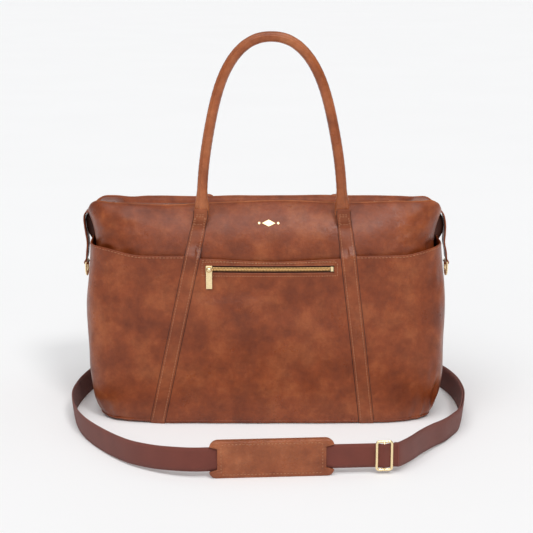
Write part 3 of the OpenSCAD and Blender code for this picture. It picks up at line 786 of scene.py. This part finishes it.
def build_body():
    side_rows = 46                                # rows of the body; the top starts at the last one
    rows = np.concatenate([np.linspace(0, 8, 40), np.linspace(8, 16, 52)[1:]])
    a, v = np.meshgrid(all_round(360), rows)
    outer = upper(a, v)[0]
    inner = upper(a, v, -LEATHER)[0]
    body = thick_patch("body_leather", outer[:side_rows], inner[:side_rows], TAN, closed=True)
    finish_piece(body, "bag", "leather", "front_body_panel", "back_body_panel",
                 "side_gusset_left", "side_gusset_right")
    top = thick_patch("top_leather", outer[side_rows - 1:], inner[side_rows - 1:], TAN, closed=True)
    finish_piece(top, "bag", "leather", "top_facing_front", "top_facing_back")


def build_top_edge():
    """Raw-cut edge of the body leather, standing round the top."""
    a, v = np.meshgrid(all_round(360), [8.35, 8.55, 8.75, 8.95])
    lift = np.array([0.1, 0.9, 0.9, 0.1])[:, None, None] * MM
    here, normal = upper(a, v)
    edge = thick_patch("top_edge", here + normal * lift, here - normal * 0.5 * MM, EDGE, closed=True)
    finish_piece(edge, "bag", "leather")


def build_inside():
    """The wall behind the slip pockets, coloured dark as painted shade down inside the pockets, and the
    lining inside it.
    """
    a, z = np.meshgrid(all_round(200), np.linspace(FLOOR_GAP + 4 * MM, 0.196, 20))
    depths = [lower(a, z, -depth * MM)[0] for depth in (7.5, 9.5, 9.7, 10.7)]
    wall = thick_patch("body_inner_wall", depths[0], depths[1], DARK_EDGE_AND_SHADE, closed=True)
    finish_piece(wall, "bag", "leather")
    lining = thick_patch("lining_cloth", depths[2], depths[3], CLOTH, closed=True)
    finish_piece(lining, "bag", "lining_cloth", "lining")


def build_base():
    """The base leather, turned up a little all round."""
    angles = all_round(260)
    count = len(angles)
    outline = lower(angles, np.full(count, 8 * MM))[0]
    rows = []
    for inset, z in ((60, 2.9), (26, 3.0), (12, 3.1), (6, 3.2), (2.5, 3.6), (0.6, 4.8)):
        share = 1 - inset * MM / np.linalg.norm(outline[:, :2], axis=1)
        rows.append(np.column_stack([outline[:, :2] * share[:, None], np.full(count, z * MM)]))
    outer = np.array(rows)
    inner = outer + np.array([0, 0, 2.4 * MM])
    inner[-1] = outer[-1] + np.array([0, 0, 0.8 * MM])
    base = thick_patch("base_leather", outer, inner, TAN, closed=True)
    fill_middle(base, count, count * len(rows))
    finish_piece(base, "bag", "leather", "base_panel")


def fill_middle(obj, count, layer):
    """Closes a ring-shaped sheet into a plate: its first rows become faces, and the wall there goes."""
    work = bmesh.new()
    work.from_mesh(obj.data)
    work.verts.ensure_lookup_table()
    work.faces.new([work.verts[k] for k in range(count)])
    work.faces.new([work.verts[k + layer] for k in reversed(range(count))])
    wall = [f for f in work.faces if len(f.verts) == 4 and all(v.index % layer < count for v in f.verts)]
    bmesh.ops.delete(work, geom=wall, context="FACES_ONLY")
    bmesh.ops.recalc_face_normals(work, faces=work.faces)
    work.to_mesh(obj.data)
    work.free()


def build_feet():
    low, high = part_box("base_feet")
    profile = [(0.1, 0), (3.4, 0.05), (5.6, 0.4), (6.8, 1.2), (7, 2), (6.6, 2.7), (5, 3), (0.1, 3)]
    feet = [lathe("foot", profile, (x, y, 0), (0, 0, 1), GOLD)
            for x in (low.x + 7 * MM, high.x - 7 * MM) for y in (low.y + 7 * MM, high.y - 7 * MM)]
    finish_piece(join(feet, "feet"), "bag", "brass", "base_feet")


# ---------------------------------------------------------------- bands

BAND_TOP = {-1: 0.2972, 1: 0.2856}                # height of a band's top, by face
BAND_UPRIGHT_Z = 0.288                            # from here on the bands no longer lean to the middle


def band_surface(x, z, face, lift=0.0):
    """The band's seat: the leather below, then straight up to the foot of the handle."""
    here, normal = on_face(x, z, face, lift)
    free = smoothstep(0.266, 0.284, z)[..., None]
    stand = HANDLE_Y + (4.0 if face < 0 else 1.0) * MM + lift
    up = np.stack([here[..., 0], np.full(here.shape[:-1], face * stand), here[..., 2]], -1)
    normal = normal * (1 - free) + np.array([0, face, 0.0]) * free
    return here * (1 - free) + up * free, normal / np.linalg.norm(normal, axis=-1, keepdims=True)


def band_rows(side, face):
    """Lines of stitching on a band: two long seams and a box with a bar under the handle."""
    top = BAND_TOP[face]
    half = BAND_WIDTH / 2
    seams = [(edge, np.linspace(FLOOR_GAP + 3 * MM, top - 11.2 * MM, 90), 0.9) for edge in (-0.74, 0.74)]
    seams += [(edge, np.linspace(top - 22 * MM, top - 8.4 * MM, 8), 0.95) for edge in (-0.62, 0.62)]
    rows = [band_surface(band_x(side, z) + edge * half, z, face, BAND_LIFT * lift)
            for edge, z, lift in seams]
    for z in (top - 8.4 * MM, top - 11 * MM, top - 22 * MM):
        x = band_x(side, z) + np.linspace(-0.62, 0.62, 12) * half
        rows.append(band_surface(x, np.full(x.shape, z), face, BAND_LIFT * 0.95))
    return rows


def band_piece(name, side, face):
    """A long band with a slightly crowned face, following the leather under it."""
    top = BAND_TOP[face]
    share = np.linspace(-1, 1, 11)
    z = np.repeat(np.linspace(HEM_Z - 0.3 * MM, top, 84)[:, None], len(share), 1)
    half = BAND_WIDTH / 2 * (1 - 0.08 * smoothstep(0.262, 0.275, z))
    middle = band_x(side, np.minimum(z, BAND_UPRIGHT_Z))
    base, normal = band_surface(middle + share * half, z, face)
    thick = BAND_LIFT * (1 - 0.35 * share**4)
    thick = thick + 1.2 * MM * bump(top - 2.2 * MM, 0.0017, z) - 0.7 * MM * bump(top - 5.8 * MM, 0.0012, z)
    outer = base + normal * thick[..., None]
    band = bevel(thick_patch(name, outer, base - normal * 0.5 * MM, BAND), 0.45 * MM)
    # A dark strip just wider than the band: edge paint, and also painted shade along the band's two edges.
    seat, out = band_surface(middle + share * (half + 0.8 * MM), np.minimum(z, top - 2 * MM), face)
    edge = thick_patch("edge_paint_and_shade_line", seat + out * 0.55 * MM, seat - out * 0.5 * MM, DARK_EDGE_AND_SHADE)
    thread = stitches("band_thread", band_rows(side, face), length=2.6 * MM, gap=1.3 * MM, radius=0.4 * MM)
    return join([band, edge, thread], name)


def build_bands():
    """Each band's leather, built in place; the CAD band that it replaces is hidden."""
    for face, word in ((-1, "front"), (1, "back")):
        for side, hand in ((-1, "left"), (1, "right")):
            name = f"band_{word}_{hand}"
            band = band_piece(f"{name}_leather", side, face)
            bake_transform(band)
            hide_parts(name)


# ---------------------------------------------------------------- front zip

def tooth_strip(name, first, last, place):
    """Two interlocking rows of metal teeth; place(x) gives a point and the outward normal there."""
    points, faces = [], []
    pitch = 2.0 * MM
    for i in range(int((last - first) / pitch)):
        for row in (-1, 1):
            here, out = place(first + (i + 0.5 + 0.25 * row) * pitch)
            up = np.cross(out, [1.0, 0, 0])
            centre = here + up * row * 1.15 * MM
            start = len(points)
            for depth, shrink in ((-0.9, 1.0), (0.35, 1.0), (0.85, 0.6)):
                for sx, sz in ((-1, -1), (1, -1), (1, 1), (-1, 1)):
                    points.append(centre + np.array([sx * 0.36 * pitch * shrink, 0, 0])
                                  + up * sz * 1.5 * MM * shrink + out * depth * MM)
            faces += [tuple(start + v for v in face) for face in grid_faces(3, 4, closed=True)]
            faces.append(tuple(start + 8 + k for k in range(4)))
            faces.append(tuple(start + k for k in (3, 2, 1, 0)))
    return new_object(name, points, faces, TEETH, smooth=False)


def zip_welt():
    """Rolled leather lips round the window."""
    half_x, half_z = WINDOW_HALF + 0.2 * MM, WINDOW_TALL + 0.2 * MM
    corners = [(-half_x, -half_z), (half_x, -half_z), (half_x, half_z), (-half_x, half_z)]
    outline = []
    for (x0, z0), (x1, z1), steps in zip(corners, corners[1:] + corners[:1], (40, 6, 40, 6)):
        outline += [(x0 + (x1 - x0) * i / steps, z0 + (z1 - z0) * i / steps) for i in range(steps)]
    outline = np.array(outline)
    xs, zs = ZIP_X + outline[:, 0], ZIP_Z + outline[:, 1]
    here, normal = on_lower_face(xs, zs + zip_dip(xs, zs), -1)
    way = np.roll(here, -1, 0) - np.roll(here, 1, 0)
    way /= np.linalg.norm(way, axis=1, keepdims=True)
    side = np.cross(way, normal)
    rows = []
    for angle in np.radians(np.arange(0, 361, 30)):
        rows.append(here + side * 1.0 * MM * math.cos(angle) + normal * MM * (1.15 * math.sin(angle) - 0.55))
    points = np.array(rows[:-1]).reshape(-1, 3)
    faces = [tuple(v % len(points) for v in face) for face in grid_faces(len(rows), len(here), closed=True)]
    return new_object("zip_welt", points, faces, BAND)


def block_mesh(name, low, high, edge=0.4 * MM):
    """A metal block with rounded edges."""
    low, high = np.array(low), np.array(high)
    points = [np.where([i & 1, i & 2, i & 4], high, low) for i in range(8)]
    faces = [(0, 1, 3, 2), (4, 6, 7, 5), (0, 4, 5, 1), (2, 3, 7, 6), (0, 2, 6, 4), (1, 5, 7, 3)]
    return bevel(new_object(name, points, faces, GOLD, smooth=False), edge, 3)


def zip_seams():
    """Lines of stitching round the window."""
    rows = []
    reach, half_tall = WINDOW_HALF + 4 * MM, 9.2 * MM
    for sign in (-1, 1):
        x = np.linspace(ZIP_X - reach, ZIP_X + reach, 60)
        z = ZIP_Z + sign * half_tall
        rows.append(on_lower_face(x, z + zip_dip(x, z)))
        z = np.linspace(ZIP_Z - half_tall, ZIP_Z + half_tall, 8)
        rows.append(on_lower_face(np.full(8, ZIP_X + sign * reach), z))
    return rows


def under_pocket(name, x, z, depths, material):
    """A sheet of cloth between two depths (mm) under the front pocket's leather."""
    outer, inner = (on_lower_face(x, z, -1, -LEATHER - depth * MM)[0] for depth in depths)
    return thick_patch(name, outer, inner, material)


def build_zip_leather():
    finish_piece(zip_welt(), "bag", "leather", "front_zip_welt")
    thread = stitches("zip_stitches", zip_seams(), length=2.4 * MM, gap=1.2 * MM, radius=0.36 * MM)
    finish_piece(thread, "bag", "leather")


def build_zip_cloth():
    reach = WINDOW_HALF + 3 * MM
    x, z = np.meshgrid(np.linspace(ZIP_X - reach, ZIP_X + reach, 60),
                       np.linspace(ZIP_Z - 10 * MM, ZIP_Z + 10 * MM, 8))
    tape = under_pocket("zip_tape_cloth", x, z + zip_dip(x, z), (0.2, 0.9), TAPE)
    finish_piece(tape, "bag", "zip_tape", "front_zip_tapes")
    low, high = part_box("front_zip_pouch")
    x, z = np.meshgrid(np.linspace(low.x, high.x, 40), np.linspace(low.z, ZIP_Z + 8 * MM, 30))
    pouch = under_pocket("zip_pouch_cloth", x, z, (1.2, 3.8), CLOTH)
    finish_piece(pouch, "bag", "lining_cloth", "front_zip_pouch")


def zip_place(x):
    """Middle of the zip's teeth at x, and the outward normal there."""
    here, out = on_lower_face(np.array([x]), np.array([ZIP_Z + zip_dip(x, ZIP_Z)]), -1, 0.9 * MM - LEATHER)
    return here[0], out[0]


def build_zip_metal():
    first, last = (corner.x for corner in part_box("front_zip_teeth"))
    finish_piece(tooth_strip("zip_teeth", first, last, zip_place), "bag", "brass", "front_zip_teeth")
    stops = []
    for x, wide in ((first - 1.2 * MM, 1.0 * MM), (last + 1.6 * MM, 2.0 * MM)):
        here = zip_place(x)[0]
        half = [wide, 1.0 * MM, 3.4 * MM]
        stops.append(block_mesh("stop", here - half, here + half))
    finish_piece(join(stops, "zip_stops"), "bag", "brass", "front_zip_stops")


def build_zip_slider():
    """The slider with its round knob, and the flat pull that hangs from it."""
    x = (SLIDER_LOW.x + SLIDER_HIGH.x) / 2
    plate = block_mesh("slider_plate", SLIDER_LOW + Vector((0, 3.6 * MM, 0)), SLIDER_HIGH, 0.9 * MM)
    ball = [(0.01, -1), (2, -0.6), (3.4, 0.6), (4, 2.2), (3.7, 3.9), (2.6, 5.2), (1.2, 5.9), (0.1, 6)]
    knob = lathe("knob", ball, (x, PULL_HIGH.y + 0.4 * MM, ZIP_Z), (0, -1, 0), GOLD)
    finish_piece(join([plate, knob], "zip_slider"), "front_slider", "brass", "front_zip_slider")
    pull = block_mesh("zip_pull", PULL_LOW, (PULL_HIGH.x, PULL_HIGH.y, ZIP_Z - 2.6 * MM), 0.7 * MM)
    neck = block_mesh("neck", (x - 2.2 * MM, PULL_LOW.y, ZIP_Z - 4 * MM),
                      (x + 2.2 * MM, PULL_HIGH.y, ZIP_Z + 2 * MM))
    finish_piece(join([pull, neck], "zip_pull"), "front_pull", "brass", "front_zip_pull")


def build_mark():
    """A lozenge between two dots, pressed into the sloping front."""
    centre_x, centre_z = 3 * MM, 277 * MM
    shapes = [[(-9, 0), (-4.5, 2.1), (0, 4.2), (4.5, 2.1), (9, 0), (4.5, -2.1), (0, -4.2), (-4.5, -2.1)]]
    turn = np.linspace(0, 2 * math.pi, 14, endpoint=False)
    shapes += [np.column_stack([13 * side + 1.5 * np.cos(turn), 1.5 * np.sin(turn)]) for side in (-1, 1)]
    pieces = []
    for shape in shapes:
        flat = np.vstack([shape, [np.mean(shape, 0)]]) * MM
        here, normal = on_upper_face(centre_x + flat[:, 0], centre_z + flat[:, 1])
        count = len(shape)
        points = list(here + normal * 0.35 * MM) + list(here - normal * 0.3 * MM)
        top = [(k, (k + 1) % count, count) for k in range(count)]
        under = [tuple(v + count + 1 for v in reversed(face)) for face in top]
        side = [((k + 1) % count, k, k + count + 1, (k + 1) % count + count + 1) for k in range(count)]
        pieces.append(new_object("mark", points, top + under + side, FOIL, smooth=False))
    finish_piece(join(pieces, "pressed_mark"), "bag", "foil", "foil_mark")


# ---------------------------------------------------------------- handles

HANDLE_SIDES = 40
SEAM_ANGLE = math.radians(-125)                   # where the rolled leather meets, round the handle


def handle_path(t):
    """Middle of a standing handle at share t of the arch, with its direction."""
    def at(angle):
        c, s = math.cos(angle), math.sin(angle)
        x = HANDLE_HALF * math.copysign(abs(c) ** HANDLE_POWER, -c)
        x = x * (1 - 0.035 * bump(0.5, 0.3, max(s, 0.0))) - 1.2 * MM * s
        return np.array([x, 0.0, HANDLE_RISE * max(s, 0.0) ** HANDLE_POWER])
    angle = math.pi * t
    here = at(angle)
    way = at(min(angle + 0.01, math.pi)) - at(max(angle - 0.01, 0.0))
    return here, way / np.linalg.norm(way)


def handle_mesh(name, lowest, thickness, material):
    """A standing handle from the given height up, flattening towards its two feet."""
    across = np.array([0.0, 1.0, 0.0])
    rows = []
    for t in 0.5 - 0.5 * np.cos(np.linspace(0, math.pi, 150)):
        here, way = handle_path(t)
        if here[2] < lowest:
            continue
        flat = 1 - float(smoothstep(0.003, 0.036, here[2]))
        ripple = 0.10 * MM * math.sin(here[2] * 700) * (1 - flat)
        radii = np.array([HANDLE_RADIUS + 3.0 * MM * flat, HANDLE_RADIUS - 2.9 * MM * flat]) + ripple
        rows.append((here, (np.cross(across, way), across), thickness * radii))
    for end in (0, -1):
        here, frame, radii = rows[end]
        tip = [(here - np.array([0, 0, drop * MM]), frame, radii * shrink)
               for drop, shrink in ((1.6, 0.93), (3.0, 0.74), (4.0, 0.40))]
        rows = tip[::-1] + rows if end == 0 else rows + tip
    points, faces = tube(*zip(*rows), HANDLE_SIDES, groove=SEAM_ANGLE)
    return new_object(name, points, faces, material)


def place_handle(obj, face):
    """Moves a handle to its hinge; the back one hangs down."""
    hinge = Matrix.Translation((HANDLE_X, face * HANDLE_Y, HINGE_Z))
    obj.data.transform(hinge @ Matrix.Rotation(-DROP if face > 0 else 0, 4, "X"))
    return obj


def build_handles():
    """Each handle's leather with the rope inside it."""
    for face, word in ((-1, "front"), (1, "back")):
        lowest = 0.0 if face < 0 else 8 * MM        # the hanging handle's feet end a little short
        cover = place_handle(handle_mesh(f"handle_{word}_leather", lowest, 1.0, ROLLED), face)
        finish_piece(cover, f"{word}_handle", "leather", f"{word}_handle_cover", f"{word}_handle_ends")
        core = place_handle(handle_mesh(f"handle_{word}_rope", lowest + 6 * MM, 0.6, ROPE), face)
        finish_piece(core, f"{word}_handle", "rope_core", f"{word}_handle_core")


# ---------------------------------------------------------------- side tabs

FOLD_HEIGHTS = np.array([0.238, 0.249, 0.259, 0.269, 0.2768])
FOLD_EDGES = {  # by side: how far out the gusset's fold starts and ends at those heights
    -1: ((0.2360, 0.2375, 0.2400, 0.2430, 0.2455), (0.2470, 0.2534, 0.2554, 0.2562, 0.2536)),
    1: ((0.2315, 0.2330, 0.2352, 0.2385, 0.2405), (0.2450, 0.2505, 0.2515, 0.2501, 0.2457)),
}


def build_gusset_folds():
    """The end gusset's middle, pinched outwards into a fold that carries the tab; the fold is coloured dark
    as painted shade of the hollow under the tab.
    """
    for side, word in ((-1, "left"), (1, "right")):
        z = np.linspace(FOLD_HEIGHTS[0], FOLD_HEIGHTS[-1], 30)
        root, ridge = (through(FOLD_HEIGHTS, np.array(edge), z) for edge in FOLD_EDGES[side])
        across = np.linspace(-1, 1, 15)
        out = 1 - np.abs(across) ** 1.5
        x = root[:, None] + (ridge - root)[:, None] * out[None]
        y = 15 * MM * across[None] + 0 * x
        height = z[:, None] + 0 * x
        outer = np.stack([side * x, y, height], -1)
        inner = np.stack([side * (x - 1.8 * MM), y * 0.9, height], -1)
        finish_piece(thick_patch(f"gusset_fold_{word}", outer, inner, DARK_EDGE_AND_SHADE), "bag", "leather")


def tab_line(side):
    """Middle line (distance out, height) of a hanging tab, down to the fold round its ring."""
    line = [(0.2470, 0.2755), (0.2500, 0.2795), (0.2540, 0.2800), (0.2572, 0.2765), (0.2585, 0.2700),
            (0.2578, 0.2600), (0.2562, 0.2480), (0.2546, 0.2350), (0.2556, 0.2220), (0.2566, 0.2120)]
    if side > 0:
        line[:8] = [(0.2405, 0.2765), (0.2440, 0.2805), (0.2478, 0.2800), (0.2506, 0.2760),
                    (0.2524, 0.2700), (0.2538, 0.2600), (0.2536, 0.2480), (0.2530, 0.2350)]
    return line + [(0.256 + 3.4 * MM * math.cos(a), 0.206 + 3.4 * MM * math.sin(a))
                   for a in np.radians(np.arange(20, -200, -20))]


def build_tabs():
    """Hanging leather tabs."""
    for side, word in ((-1, "left"), (1, "right")):
        line = np.array(tab_line(side))
        knots = np.linspace(0, 1, len(line))
        share = np.linspace(0, 1, 70)
        xs, zs = (through(knots, line[:, k], share)[:, None] for k in (0, 1))
        way = np.gradient(np.hstack([xs, zs]), axis=0)
        way /= np.linalg.norm(way, axis=1, keepdims=True)
        in_x, in_z = (2.0 * MM * way[:, 1:], -2.0 * MM * way[:, :1])
        y = np.linspace(-1, 1, 9) * np.interp(zs, [0.2, 0.2105, 0.2145, 0.28], [10, 10, 13, 13.5]) * MM
        outer = np.stack([side * xs + 0 * y, y, zs + 0 * y], -1)
        inner = np.stack([side * (xs + in_x) + 0 * y, y, zs + in_z + 0 * y], -1)
        tab = thick_patch(f"tab_{word}_leather", outer, inner, BAND)
        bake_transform(tab)
        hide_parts(f"wing_tab_{word}")


# ---------------------------------------------------------------- strap

UP = np.array([0, 0, 1.0])
LINE_ANGLE = math.radians(4.25)                   # of the straight stretch in front
LINE_Y = -327.7                                   # where it crosses the middle (mm)
LINE_BASE = 8.9                                   # its lower edge, held up by the pad (mm)


def on_line(x):
    """A point of the route's straight stretch in front of the bag."""
    return (x, LINE_Y + x * math.tan(LINE_ANGLE), LINE_BASE)


STRAP_ROUTE = np.array([  # the CAD strap's route: x, y, lower edge (mm)
    (-160, 172, 4.2), (-182, 172, 4.2), (-208, 160, 2.5), (-231, 135, 1), (-247, 98, 0.5),
    (-259, 50, 0.5), (-268, -5, 0.5), (-270, -62, 0.5), (-261, -120, 0.5), (-243, -178, 1),
    (-213, -235, 1.5), (-178, -283, 3), (-145, -312, 5.5), (-115, -328.5, 8),
    on_line(-90), on_line(-60), on_line(0), on_line(60), on_line(110), on_line(135), on_line(160),
    on_line(166), (176, -301, 8), (187, -282, 7), (200, -256, 5.5), (218, -224, 3.5), (237, -195, 2),
    (252, -165, 1.2), (261, -143, 0.8), (270, -100, 0.5), (276, -50, 0.5), (274, 8, 0.5),
    (264, 58, 0.5), (249, 102, 0.5), (228, 138, 1), (205, 163, 3), (194, 172, 4.2), (175, 172, 4.2)
]) * MM
RETURN_START = 20                                 # the route point at which the doubled webbing starts
ADJUSTER_X = 147 * MM
PAD_X = 6.5 * MM
PAD_SIZE = (156 * MM, 48.4 * MM)


def route_points(first=0):
    """Smooth points along the strap's route, as the CAD webbing follows it."""
    out = []
    last = len(STRAP_ROUTE) - 1
    for i in range(first, last):
        p0, p1 = STRAP_ROUTE[max(0, i - 1)], STRAP_ROUTE[i]
        p2, p3 = STRAP_ROUTE[min(last, i + 1)], STRAP_ROUTE[min(last, i + 2)]
        for t in np.arange(8) / 8:
            out.append(0.5 * (2 * p1 + (p2 - p0) * t + (2 * p0 - 5 * p1 + 4 * p2 - p3) * t**2
                              + (3 * p1 - p0 - 3 * p2 + p3) * t**3))
    return np.array(out + [STRAP_ROUTE[last]])


def ribbon(name, path, offset):
    """Webbing on its edge along a path and offset inwards; it leans outwards beside the bag."""
    way = np.gradient(path[:, :2], axis=0)
    way /= np.linalg.norm(way, axis=1, keepdims=True)
    side = np.stack([-way[:, 1], way[:, 0]], 1)
    lean = np.radians(7) * smoothstep(0.20, 0.27, np.abs(path[:, 0]))
    lean = lean * (1 - smoothstep(0.05, 0.12, path[:, 1]))
    width, thick = WEBBING
    heights = np.linspace(0, 1, 7) * width
    lip = np.array([0.55, 0.95, 1, 1, 1, 0.95, 0.55])

    def layer(sign):
        rows = []
        for height, share in zip(heights, lip):
            away = offset + sign * thick / 2 * share - np.tan(lean) * height
            rows.append(np.column_stack([path[:, :2] + side * away[:, None], path[:, 2] + height]))
        return np.array(rows)

    web = thick_patch(name, layer(-1), layer(1), WEB)
    reach = arc_length(path[:, :2])
    count = len(path) * len(heights)
    laid_out = web.data.uv_layers.new(name="laid_out")
    for loop in web.data.loops:
        row, column = divmod(loop.vertex_index % count, len(path))
        laid_out.data[loop.index].uv = (reach[column], heights[row])
    return web


def build_strap():
    """The webbing, doubled behind the adjuster, with all that it carries."""
    path = route_points()
    at_bar = bump(ADJUSTER_X, 6.2 * MM, path[:, 0]) * (path[:, 1] < -0.2)
    webbing = ribbon("strap_web", path, -4.2 * MM * at_bar)
    finish_piece(webbing, "strap", "webbing", "strap_webbing")
    fold = ribbon("strap_return_web", route_points(RETURN_START), WEBBING[1] + 0.3 * MM)
    finish_piece(fold, "strap", "webbing", "strap_return")
    on_it = [fold, *build_pad(), build_adjuster()]
    on_it += [NODES[f"hook_{part}_{hand}"] for hand in ("left", "right") for part in ("eye", "body", "gate")]


def strap_frame(x):
    """Origin and axes of the straight stretch at x: along the webbing, and inwards."""
    origin = np.array(on_line(x / MM)) * MM + UP * WEBBING[0] / 2
    c, s = math.cos(LINE_ANGLE), math.sin(LINE_ANGLE)
    return origin, np.array([c, s, 0]), np.array([-s, c, 0])


def on_pad(s, depth, t):
    """Points s along the webbing from the pad's middle, depth inwards and t up."""
    origin, along, inward = strap_frame(PAD_X)
    return origin + s[..., None] * along + (depth + 0 * s)[..., None] * inward + t[..., None] * UP


def rounded_loop(half_s, half_t, radius, step):
    """Closed outline (s, t) of a rounded rectangle, with a point every step degrees of its corners."""
    line = []
    for sign_s, sign_t, first in ((1, 1, 0), (-1, 1, 90), (-1, -1, 180), (1, -1, 270)):
        line += [(sign_s * (half_s - radius) + radius * math.cos(math.radians(a)),
                  sign_t * (half_t - radius) + radius * math.sin(math.radians(a)))
                 for a in range(first, first + 91, step)]
    return np.array(line + line[:1])


def rounded_reach(rows, half_length, half_height, corner):
    """Half length of a rounded rectangle at the given heights."""
    over = np.clip(np.abs(rows) - (half_height - corner), 0, corner)
    return half_length - corner + np.sqrt(np.clip(corner**2 - over**2, 0, None))


def pad_face():
    """The padded leather, notched at both ends where the webbing enters."""
    half_s, half_t = PAD_SIZE[0] / 2, PAD_SIZE[1] / 2
    slot_half, slot_depth = 16.2 * MM, 10 * MM
    outside = np.linspace(slot_half, half_t, 9)
    rows = np.concatenate([-outside[::-1], np.linspace(-slot_half, slot_half, 14)[1:-1] * 0.97, outside])
    reach = rounded_reach(rows, half_s, half_t, 9 * MM)
    reach = np.where(np.abs(rows) < slot_half * 0.99, half_s - slot_depth, reach)[:, None]
    s = reach * np.sin(np.linspace(-1, 1, 74) * math.pi / 2)
    t = rows[:, None] + 0 * s
    inset = np.minimum(reach - np.abs(s), half_t - np.abs(t))
    wrinkle = np.abs(CREASE_WAVES(on_pad(s, 0, t) * np.array([1.4, 1.4, 0.25])))
    puff = 1.7 * smoothstep(0.0, 5 * MM, inset) - 0.7 * bump(4.6 * MM, 0.9 * MM, inset)
    puff = (puff - 0.9 * wrinkle * smoothstep(4 * MM, 9 * MM, inset)) * MM
    face = thick_patch("pad_leather", on_pad(s, -3.2 * MM - puff, t), on_pad(s, -1.5 * MM, t), PAD)
    return bevel(face, 0.5 * MM)


def pad_backing():
    half_s, half_t, corner = PAD_SIZE[0] / 2, PAD_SIZE[1] / 2, 11 * MM
    s, t = np.meshgrid(np.linspace(-half_s, half_s, 70), np.linspace(-1, 1, 22))
    t = t * rounded_reach(s, half_t, half_s, corner)
    backing = thick_patch("pad_backing_leather", on_pad(s, 1.5 * MM, t), on_pad(s, 3.6 * MM, t), PAD)
    return bevel(backing, 0.5 * MM)


def pad_seam():
    line = rounded_loop(PAD_SIZE[0] / 2 - 14.6 * MM, PAD_SIZE[1] / 2 - 4.6 * MM, 3 * MM, 15)
    fine = np.linspace(0, len(line) - 1, 240)
    s, t = (np.interp(fine, range(len(line)), line[:, k]) for k in (0, 1))
    outwards = np.repeat(-strap_frame(PAD_X)[2][None], 240, 0)
    return stitches("pad_stitches", [(on_pad(s, -4.25 * MM, t), outwards)],
                    length=3.0 * MM, gap=1.5 * MM, radius=0.35 * MM)


def build_pad():
    face = finish_piece(pad_face(), "pad", "pad_leather", "strap_pad")
    backing = finish_piece(pad_backing(), "pad", "pad_leather", "strap_pad_backing")
    return face, backing, finish_piece(pad_seam(), "pad", "pad_leather")


def build_adjuster():
    """A flat wire frame with a middle bar that the webbing crosses."""
    origin, along, inward = strap_frame(ADJUSTER_X)
    origin = origin - inward * (WEBBING[1] / 2 + 1.8 * MM)
    half_tall, wire = 18.4 * MM, 1.75 * MM
    loop = [origin + along * s + UP * t for s, t in rounded_loop(9.4 * MM, half_tall, 3 * MM, 18)]
    frames = []
    for before, after in zip([loop[-2]] + loop[:-1], loop[1:] + [loop[1]]):
        way = (after - before) / np.linalg.norm(after - before)
        frames.append((np.cross(way, inward), inward))
    points, faces = tube(loop, frames, [(wire, wire * 0.8)] * len(loop), 14, caps=False)
    bar = [origin - UP * half_tall, origin + UP * half_tall]
    more, cells = tube(bar, [(along, inward)] * 2, [(wire * 0.9, wire * 0.75)] * 2, 14, start=len(points))
    obj = new_object("adjuster_frame", points + more, faces + cells, GOLD)
    return finish_piece(obj, "adjuster", "brass", "strap_adjuster")


# ---------------------------------------------------------------- carried-over CAD nodes

CARRIED = {"base_board": BOARD, "main_zip_teeth": TEETH, "main_zip_tapes": TAPE, "inner_pocket": CLOTH,
           "main_zip_stops": GOLD, "main_zip_slider": GOLD, "main_zip_pull": GOLD}
for hand in ("left", "right"):
    for part in ("d_ring", "hook_eye", "hook_body", "hook_gate"):
        CARRIED[f"{part}_{hand}"] = GOLD


def dress_nodes():
    """Gives the CAD solids that stay in view their materials."""
    for name, material in CARRIED.items():
        for slot in NODES[name].material_slots:
            slot.material = material


build_lower_shell()
build_body()
build_top_edge()
build_inside()
build_base()
build_feet()
build_bands()
build_zip_leather()
build_zip_cloth()
build_zip_metal()
build_zip_slider()
build_mark()
build_handles()
build_gusset_folds()
build_tabs()
build_strap()
dress_nodes()
